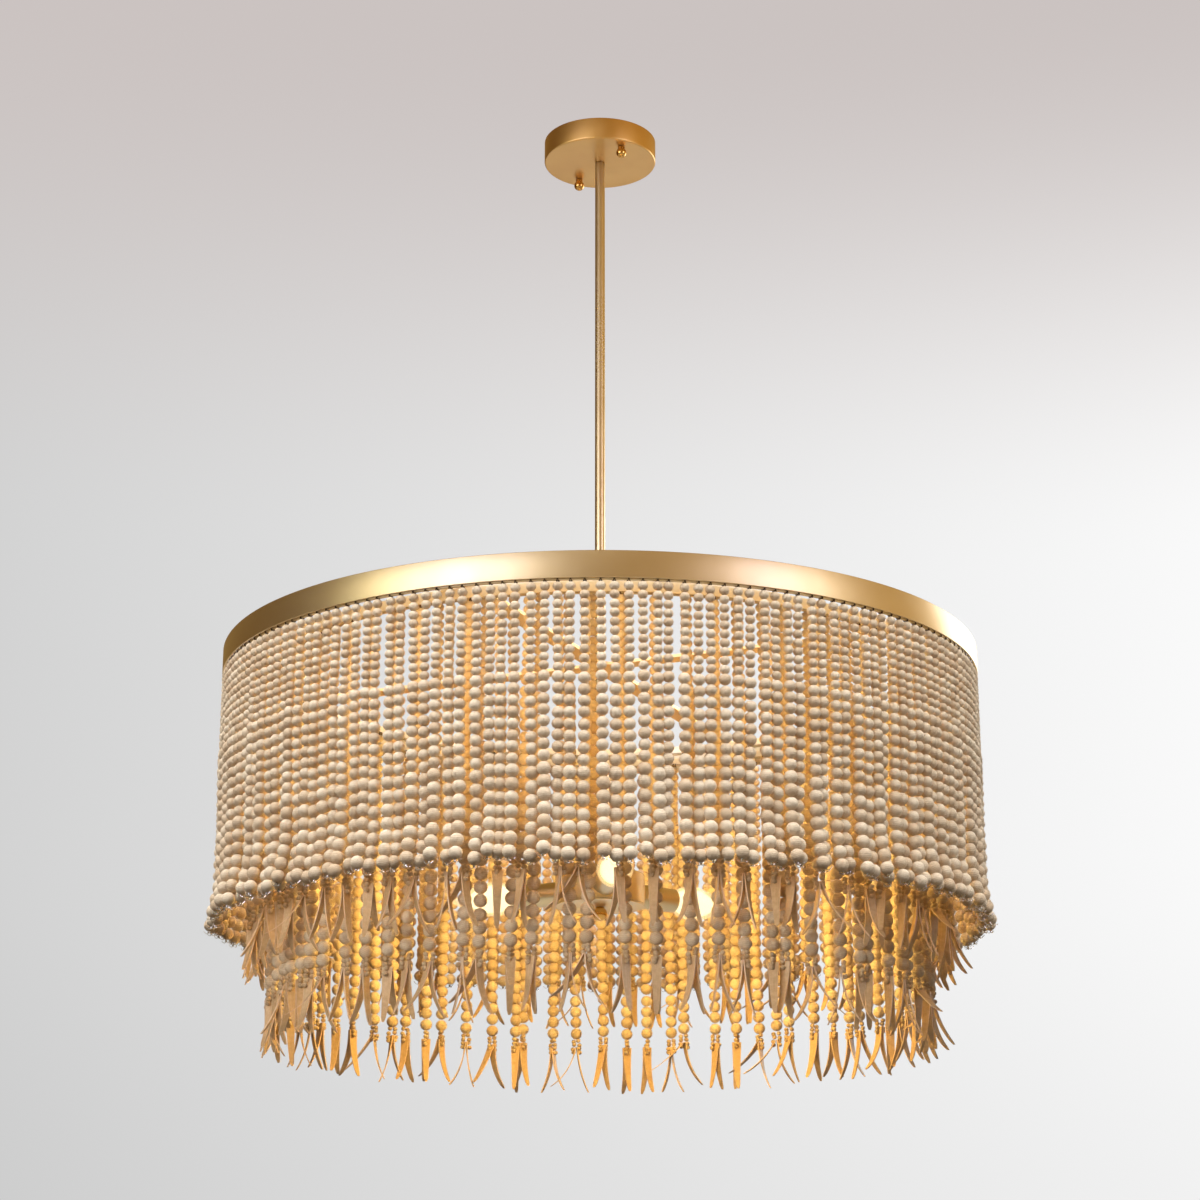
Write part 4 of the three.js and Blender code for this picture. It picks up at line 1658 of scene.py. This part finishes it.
@dataclass
class LampHub:
    """Round hub on the lower stem, with its lid and the ball under it."""

    wall: float = 1.5 * MM
    edge: float = 2.0 * MM
    fine: float = 0.4 * MM
    hole: float = 3.5 * MM
    lip_walls: tuple[float, float] = (1.4, 2.2)
    segments: int = 96
    ball_radius: float = 7.2 * MM
    neck_radius: float = 4.5 * MM
    neck_height: float = 0.8 * MM

    def build(self) -> None:
        """Builds the cup, the lid and the ball."""
        radius, low, high = extent("hub_body")
        inner = radius - self.wall
        cup = [
            (inner, low, self.fine),
            (radius, low, self.fine),
            (radius, high, self.edge),
            (self.hole, high, self.fine),
            (self.hole, high - self.wall, self.fine),
            (inner, high - self.wall, self.fine),
        ]
        mesh = turned(rounded(cup), self.segments)
        place_piece(mesh, "hub_cup", Slot.SATIN_GOLD, "fixture", ["hub_body"])
        radius, low, high = extent("hub_cover")
        outer, inner = (radius - self.wall * walls for walls in self.lip_walls)
        lid = [
            (self.hole, low, self.fine),
            (radius, low, self.fine),
            (radius, low + self.wall, self.fine),
            (outer, low + self.wall, 0.0),
            (outer, high, self.fine),
            (inner, high, self.fine),
            (inner, low + self.wall, 0.0),
            (self.hole, low + self.wall, self.fine),
        ]
        mesh = turned(rounded(lid), self.segments)
        place_piece(mesh, "hub_lid", Slot.SATIN_GOLD, "fixture", ["hub_cover"])
        seat = Matrix.Translation((0.0, 0.0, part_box("hub_finial")[1].z))
        ball = moved(knob(self.ball_radius, self.neck_radius, self.neck_height), seat)
        place_piece(ball, "hub_ball", Slot.POLISHED_BRASS, "finial", ["hub_finial"])
        for node in ("hub_rod", "hub_nut"):
            dress_node(node, Slot.ZINC_STEEL)


@dataclass
class LampArm:
    """A sleeve on the hub with its lamp holder and a lit candle lamp.

    The cap's end is shares of its radius and heights, and the glass and its core are shares of the
    glass's length and radius.
    """

    number: int
    glowing: bpy.types.Collection
    first_bearing: float = math.radians(-83.0)
    level: float = -820.0 * MM
    fine: float = 0.3 * MM
    edge_steps: int = 3
    segments: int = 48
    sleeve_start: float = 42.9 * MM
    sleeve_end: float = 92.0 * MM
    sleeve_radius: float = 12.0 * MM
    sleeve_wall: float = 1.0 * MM
    sleeve_segments: int = 64
    holder_radius: float = 10.6 * MM
    holder_bore: float = 7.3 * MM
    holder_back: float = 14.0 * MM
    recess: float = 1.0 * MM
    cap_radius: float = 7.0 * MM
    cap_length: float = 27.0 * MM
    cap_end: tuple[tuple[float, float], ...] = (
        (0.0, 0.0),
        (0.35, 0.0),
        (0.4, 1.2 * MM),
        (0.86, 3.0 * MM),
    )
    cap_segments: int = 40
    thread_start: float = 4.0 * MM
    thread_spare: float = 8.0 * MM
    thread_depth: float = 0.35 * MM
    thread_turns: int = 5
    thread_steps: int = 8
    glass_radius: float = 17.5 * MM
    glass_length: float = 72.0 * MM
    glass_shares: tuple[tuple[float, float], ...] = (
        (0.0, 0.0),
        (0.0, 0.4),
        (0.03, 0.52),
        (0.08, 0.68),
        (0.14, 0.82),
        (0.22, 0.94),
        (0.32, 1.0),
        (0.42, 0.99),
        (0.52, 0.93),
        (0.62, 0.83),
        (0.72, 0.68),
        (0.8, 0.52),
        (0.88, 0.34),
        (0.95, 0.18),
        (0.985, 0.09),
        (1.0, 0.0),
    )
    core_shares: tuple[tuple[float, float], ...] = (
        (0.05, 0.0),
        (0.06, 0.3),
        (0.12, 0.58),
        (0.22, 0.76),
        (0.34, 0.82),
        (0.48, 0.78),
        (0.6, 0.62),
        (0.7, 0.38),
        (0.76, 0.0),
    )
    light_share: float = 0.36
    light_power: float = 1.9
    light_radius: float = 12.0 * MM
    light_colour: Corner = (1.0, 0.64, 0.14)

    @property
    def place(self) -> Matrix:
        """Turns a piece that was built along +Z to lie along the lamp's bearing.

        Returns:
            The move.
        """
        bearing = self.first_bearing + (self.number - 1) * TAU / LAMP_COUNT
        lay = Matrix.Rotation(bearing, 4, "Z") @ Matrix.Rotation(math.pi / 2, 4, "Y")
        return Matrix.Translation((0.0, 0.0, self.level)) @ lay

    @property
    def mouth(self) -> float:
        """Distance of the holder's mouth from the stem."""
        return self.sleeve_end - self.recess

    def build(self) -> None:
        """Builds the sleeve, holder, screw cap, glass and glowing core, and the lamp's light."""
        inner, outer = self.sleeve_radius - self.sleeve_wall, self.sleeve_radius
        start, end = (self.sleeve_start, 0.0), (self.sleeve_end, self.fine)
        sleeve = rounded([(inner, *start), (outer, *start), (outer, *end), (inner, *end)], self.edge_steps)
        mesh = turned(sleeve, self.sleeve_segments)
        self._show(mesh, "sleeve", Slot.SATIN_GOLD, "fixture", "lamp_sleeve")
        inner, outer = self.holder_bore, self.holder_radius
        start, end = (self.mouth - self.cap_length - self.holder_back, self.fine), (self.mouth, self.fine)
        holder = rounded([(inner, *start), (outer, *start), (outer, *end), (inner, *end)], self.edge_steps)
        mesh = turned(holder, self.segments)
        self._show(mesh, "holder", Slot.HOLDER_PLASTIC, "fixture", "lamp_holder")
        dress_node(f"lamp_nipple_{self.number}", Slot.ZINC_STEEL)
        body = f"lamp_{self.number}"
        self._show(self._cap(), "cap", Slot.LAMP_CAP, body, "bulb")
        glass = self._show(self._blown(self.glass_shares), "glass", Slot.LAMP_GLASS, body, "bulb")
        core = self._show(self._blown(self.core_shares), "core", Slot.FILAMENT, body, "bulb")
        self._light(glass, core)

    def _blown(self, shares: Sequence[tuple[float, float]]) -> bpy.types.Mesh:
        """A round shape from its outline, in shares of the glass's length and radius.

        Args:
            shares: How far along and how far out each point is.

        Returns:
            The mesh.
        """
        outline = []
        for along, out in shares:
            outline.append((self.glass_radius * out, self.mouth + self.glass_length * along))
        return turned(outline, self.segments)

    def _cap(self) -> bpy.types.Mesh:
        """The screw cap, its thread rolled as shallow rings, with a contact at its end.

        Returns:
            The mesh.
        """
        seat = self.mouth - self.cap_length
        outline = [(self.cap_radius * out, seat + height) for out, height in self.cap_end]
        count = self.thread_turns * self.thread_steps
        rolled = self.cap_length - self.thread_spare
        for i in range(count + 1):
            dip = self.thread_depth * (1 - math.cos(TAU * i / self.thread_steps))
            outline.append((self.cap_radius - dip, seat + self.thread_start + rolled * i / count))
        outline.append((self.cap_radius, self.mouth))
        outline.append((0.0, self.mouth))
        return turned(outline, self.cap_segments)

    def _light(self, *pieces: bpy.types.Object) -> None:
        """The lamp's own light, at the widest part of its glass.

        Args:
            pieces: The glowing pieces round it, which no lamp's light stops at or lights.
        """
        data = bpy.data.lights.new(f"lamp_{self.number}_light", "POINT")
        data.energy = self.light_power
        data.color = self.light_colour
        data.shadow_soft_size = self.light_radius
        light = bpy.data.objects.new(data.name, data)
        along = self.mouth + self.glass_length * self.light_share
        light.location = self.place @ Vector((0.0, 0.0, along))
        light.visible_glossy = False
        bpy.context.scene.collection.objects.link(light)
        for piece in pieces:
            piece.visible_shadow = False
            self.glowing.objects.link(piece)
        keep_light(light, self.glowing, "EXCLUDE")

    def _show(
        self, mesh: bpy.types.Mesh, part: str, slot: Slot, body: str, node: str
    ) -> bpy.types.Object:
        """Turns a part to the lamp's bearing and shows it."""
        name = f"lamp_{self.number}_{part}"
        return place_piece(moved(mesh, self.place), name, slot, body, [f"{node}_{self.number}"])


# Studio


class Purpose(Enum):
    """What a panel is for: light on the outside, light on the inner tiers, or what metal mirrors."""

    LIGHT = "light"
    INNER_LIGHT = "inner light"
    MIRRORED = "mirrored"


def keep_light(light: bpy.types.Object, pieces: bpy.types.Collection, state: str) -> None:
    """Keeps a light to some pieces, or off them.

    Args:
        light: The light.
        pieces: The pieces that it is kept to or off.
        state: INCLUDE or EXCLUDE.
    """
    for member in pieces.collection_objects:
        member.light_linking.link_state = state
    light.light_linking.receiver_collection = pieces


@dataclass(frozen=True)
class Panel:
    """A soft light that faces the middle of the shade, or another point that it is aimed at.

    Its bearing is in degrees, and its glow is how bright the panel itself would look.
    """

    name: str
    purpose: Purpose
    bearing: float
    distance: float
    level: float
    width: float
    length: float
    glow: float
    colour: Corner = (1.0, 1.0, 1.0)
    aim: Corner = (0.0, 0.0, -0.75)

    def build(self) -> bpy.types.Object:
        """Hangs the panel at its bearing, which counts from straight in front towards the right.

        Returns:
            The light.
        """
        data = bpy.data.lights.new(self.name, "AREA")
        data.shape = "RECTANGLE"
        data.size = self.width
        data.size_y = self.length
        data.energy = self.glow * math.pi * self.width * self.length
        data.color = self.colour
        light = bpy.data.objects.new(self.name, data)
        bearing = math.radians(self.bearing)
        out, level = self.distance, self.level
        light.location = (out * math.sin(bearing), -out * math.cos(bearing), level)
        light.rotation_euler = (light.location - Vector(self.aim)).to_track_quat("Z", "Y").to_euler()
        light.visible_camera = False
        light.visible_glossy = self.purpose is Purpose.MIRRORED
        light.visible_diffuse = self.purpose is not Purpose.MIRRORED
        bpy.context.scene.collection.objects.link(light)
        return light


WARM = (1.0, 0.975, 0.93)
WARMER = (1.0, 0.91, 0.78)
YELLOW = (0.97, 0.98, 0.62)
PALE_YELLOW = (0.97, 0.98, 0.9)
BLUE = (0.0, 0.0, 1.0)


@dataclass(frozen=True)
class Backdrop:
    """A pale wall that is brighter to the right, and greyer towards the ceiling and the floor."""

    wall_left: Rgba = shade(210, 210, 210)
    wall_right: Rgba = shade(250, 250, 250)
    foot_left: Rgba = shade(204, 204, 204)
    foot_right: Rgba = shade(242, 242, 242)
    ceiling: Rgba = shade(203, 195, 193)
    reach: float = 0.24
    foot_rise: tuple[float, float] = (0.04, 0.2)
    ceiling_rise: tuple[float, float] = (0.3, 0.5)

    def colour(self, graph: Graph, way: Signal) -> Signal:
        """The colour that lies in a direction.

        Args:
            graph: The world's tree.
            way: The direction, taken apart.

        Returns:
            The colour's signal.
        """
        rise = way.other("Z")
        sockets = {"Value": way, "From Min": -self.reach, "From Max": self.reach}
        across = graph.node("ShaderNodeMapRange", {}, sockets)
        wall = graph.blend(across, self.wall_left, self.wall_right)
        foot = graph.blend(across, self.foot_left, self.foot_right)
        lower = graph.blend(graph.ease(rise, *self.foot_rise), foot, wall)
        return graph.blend(graph.ease(rise, *self.ceiling_rise), lower, self.ceiling)


@dataclass
class Studio:
    """Pale floor, backdrop, soft lights and the camera."""

    inner_pieces: list[bpy.types.Object]
    lens: float = 76.13
    sensor: float = 36.0
    eye: Corner = (0.0, -2.4926, -1.2775)
    pitch: float = math.radians(16.942)
    floor_level: float = -2.45
    floor_reach: float = 6.0
    backdrop: Backdrop = Backdrop()
    light_above: Rgba = shade(134, 129, 120)
    light_below: Rgba = shade(92, 80, 64)
    light_rise: tuple[float, float] = (-0.3, 0.4)
    mirrored_left: Rgba = (0.14, 0.073, 0.02, 1.0)
    mirrored_right: Rgba = (0.62, 0.375, 0.085, 1.0)
    glow_count: int = 12
    glow_distance: float = 361.0 * MM
    glow_level: float = -714.0 * MM
    glow_length: float = 226.0 * MM
    glow_strength: float = 0.85
    glow_colour: Corner = (1.0, 0.63, 0.17)
    panels: tuple[Panel, ...] = (
        Panel("key_left", Purpose.LIGHT, -48.0, 1.8, 1.15, 2.8, 2.8, 3.95, WARM),
        Panel("key_right", Purpose.LIGHT, 46.0, 1.8, 1.15, 2.8, 2.8, 2.85, WARM),
        Panel("key_back", Purpose.LIGHT, 180.0, 1.8, 1.15, 2.8, 2.8, 1.9, WARM),
        Panel("key_low", Purpose.INNER_LIGHT, -24.0, 2.5, -0.55, 1.4, 0.8, 8.5, WARMER),
        Panel("key_low_back", Purpose.INNER_LIGHT, 156.0, 2.5, -0.55, 1.4, 0.8, 5.0, WARMER),
        Panel("panel_left", Purpose.MIRRORED, -41.6, 2.2, -0.2, 1.86, 1.1, 3.7, YELLOW),
        Panel("panel_left_core", Purpose.MIRRORED, -38.0, 2.2, -0.2, 1.3, 1.1, 2.6, BLUE),
        Panel("panel_right", Purpose.MIRRORED, 49.8, 2.2, -0.2, 1.06, 1.1, 3.2, PALE_YELLOW),
        Panel("panel_right_core", Purpose.MIRRORED, 47.0, 2.2, -0.2, 0.6, 1.1, 2.2, BLUE),
        Panel("panel_high", Purpose.MIRRORED, -22.0, 2.2, 0.9, 2.6, 0.9, 0.4),
        Panel("panel_back", Purpose.MIRRORED, 131.0, 2.2, -0.2, 1.4, 1.1, 4.0),
        Panel("panel_low", Purpose.MIRRORED, 180.0, 3.0, -1.6, 4.0, 1.4, 0.5),
    )

    def build(self) -> None:
        """Builds the camera, backdrop, floor and lights."""
        self._camera()
        self._world()
        self._floor()
        self._glow()
        kept_to = self._collected("inner_tiers_lit")
        kept_off = self._collected("inner_tiers_unlit")
        for panel in self.panels:
            light = panel.build()
            if panel.purpose is Purpose.LIGHT:
                keep_light(light, kept_off, "EXCLUDE")
            elif panel.purpose is Purpose.INNER_LIGHT:
                keep_light(light, kept_to, "INCLUDE")

    def _collected(self, name: str) -> bpy.types.Collection:
        """The inner tiers' pieces in a collection.

        Args:
            name: The collection's name.

        Returns:
            The collection.
        """
        collection = bpy.data.collections.new(name)
        for piece in self.inner_pieces:
            collection.objects.link(piece)
        return collection

    def _glow(self) -> None:
        """The lamps' light that the strands throw back and forth inside the drum."""
        step = 360.0 / self.glow_count
        width = 2.0 * self.glow_distance * math.tan(math.radians(step / 2.0))
        aim = (0.0, 0.0, self.glow_level)
        for i in range(self.glow_count):
            Panel(
                f"glow_{i + 1}",
                Purpose.INNER_LIGHT,
                step * i,
                self.glow_distance,
                self.glow_level,
                width,
                self.glow_length,
                self.glow_strength,
                self.glow_colour,
                aim,
            ).build()

    def _camera(self) -> None:
        """The camera, where the photograph was taken from."""
        data = bpy.data.cameras.new("camera")
        data.lens = self.lens
        data.sensor_width = self.sensor
        camera = bpy.data.objects.new("camera", data)
        camera.location = self.eye
        camera.rotation_euler = (math.pi / 2 + self.pitch, 0.0, 0.0)
        bpy.context.scene.collection.objects.link(camera)
        bpy.context.scene.camera = camera

    def _world(self) -> None:
        """Soft light from all round, what metal mirrors of the room, and the backdrop that is seen."""
        world = bpy.data.worlds.new("studio")
        world.use_nodes = True
        world.node_tree.nodes.clear()
        bpy.context.scene.world = world
        graph = Graph(world.node_tree)
        rays = graph.node("ShaderNodeLightPath")
        seen = rays.math("MAXIMUM", rays.other("Is Transmission Ray"))
        ray = graph.node("ShaderNodeTexCoord").other("Generated")
        way = graph.node("ShaderNodeSeparateXYZ", {}, {0: ray})
        rise = graph.ease(way.other("Z"), *self.light_rise)
        even = graph.blend(rise, self.light_below, self.light_above)
        mirrored = graph.blend((way + 1.0) * 0.5, self.mirrored_left, self.mirrored_right)
        even = graph.blend(rays.other("Is Glossy Ray"), even, mirrored)
        plain = graph.node("ShaderNodeBackground", {}, {"Color": even, "Strength": 1.0})
        wall = self.backdrop.colour(graph, way)
        shown = graph.node("ShaderNodeBackground", {}, {"Color": wall, "Strength": 1.0})
        surface = graph.node("ShaderNodeMixShader", {}, {0: seen, 1: plain, 2: shown})
        graph.node("ShaderNodeOutputWorld", {}, {"Surface": surface})

    def _floor(self) -> None:
        """Plain pale floor at the room's depth below the ceiling, which lights nothing itself."""
        work = bmesh.new()
        bmesh.ops.create_grid(work, x_segments=1, y_segments=1, size=self.floor_reach)
        mesh = bpy.data.meshes.new("floor")
        work.to_mesh(mesh)
        work.free()
        place = Matrix.Translation((0.0, 0.0, self.floor_level))
        floor = bpy.data.objects.new("floor", moved(mesh, place))
        bpy.context.scene.collection.objects.link(floor)
        mesh.materials.append(PaleFloor().material())
        floor.visible_diffuse = False


TIERS = (
    StrandTier(
        "outer_curtain",
        "outer_band",
        slices=12,
        counts=(10, 8, 7),
        strands=192,
        end=StrandEnd.CRIMP,
        sway=2.9 * MM,
        spread=0.6 * MM,
        lift=7.0 * MM,
        stagger=7.5 * MM,
        flare=8.0 * MM,
    ),
    StrandTier(
        "middle_tier",
        "middle_hoop",
        slices=8,
        counts=(10, 8, 6),
        strands=80,
        end=StrandEnd.PENDANT,
        phase=-0.25,
        sway=5.0 * MM,
        lift=4.0 * MM,
    ),
    StrandTier(
        "inner_tier",
        "inner_hoop",
        slices=8,
        counts=(11, 8, 12),
        strands=80,
        end=StrandEnd.PENDANT,
        sway=6.0 * MM,
        lift=5.0 * MM,
    ),
)


def main() -> None:
    """Builds the whole chandelier and the studio round it."""
    logging.basicConfig(level=logging.INFO, format="%(message)s")
    FRAME.update(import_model())
    bpy.context.scene.view_settings.view_transform = "Standard"
    Mounting().build()
    HoopFrame().build()
    trees = TierTrees()
    inner_pieces = []
    for tier in TIERS:
        pieces = tier.build(trees)
        if tier.end is StrandEnd.PENDANT:
            inner_pieces += pieces
    LampHub().build()
    glowing = bpy.data.collections.new("glowing")
    for number in range(1, LAMP_COUNT + 1):
        LampArm(number, glowing).build()
    Studio(inner_pieces).build()


if __name__ == "__main__":
    main()
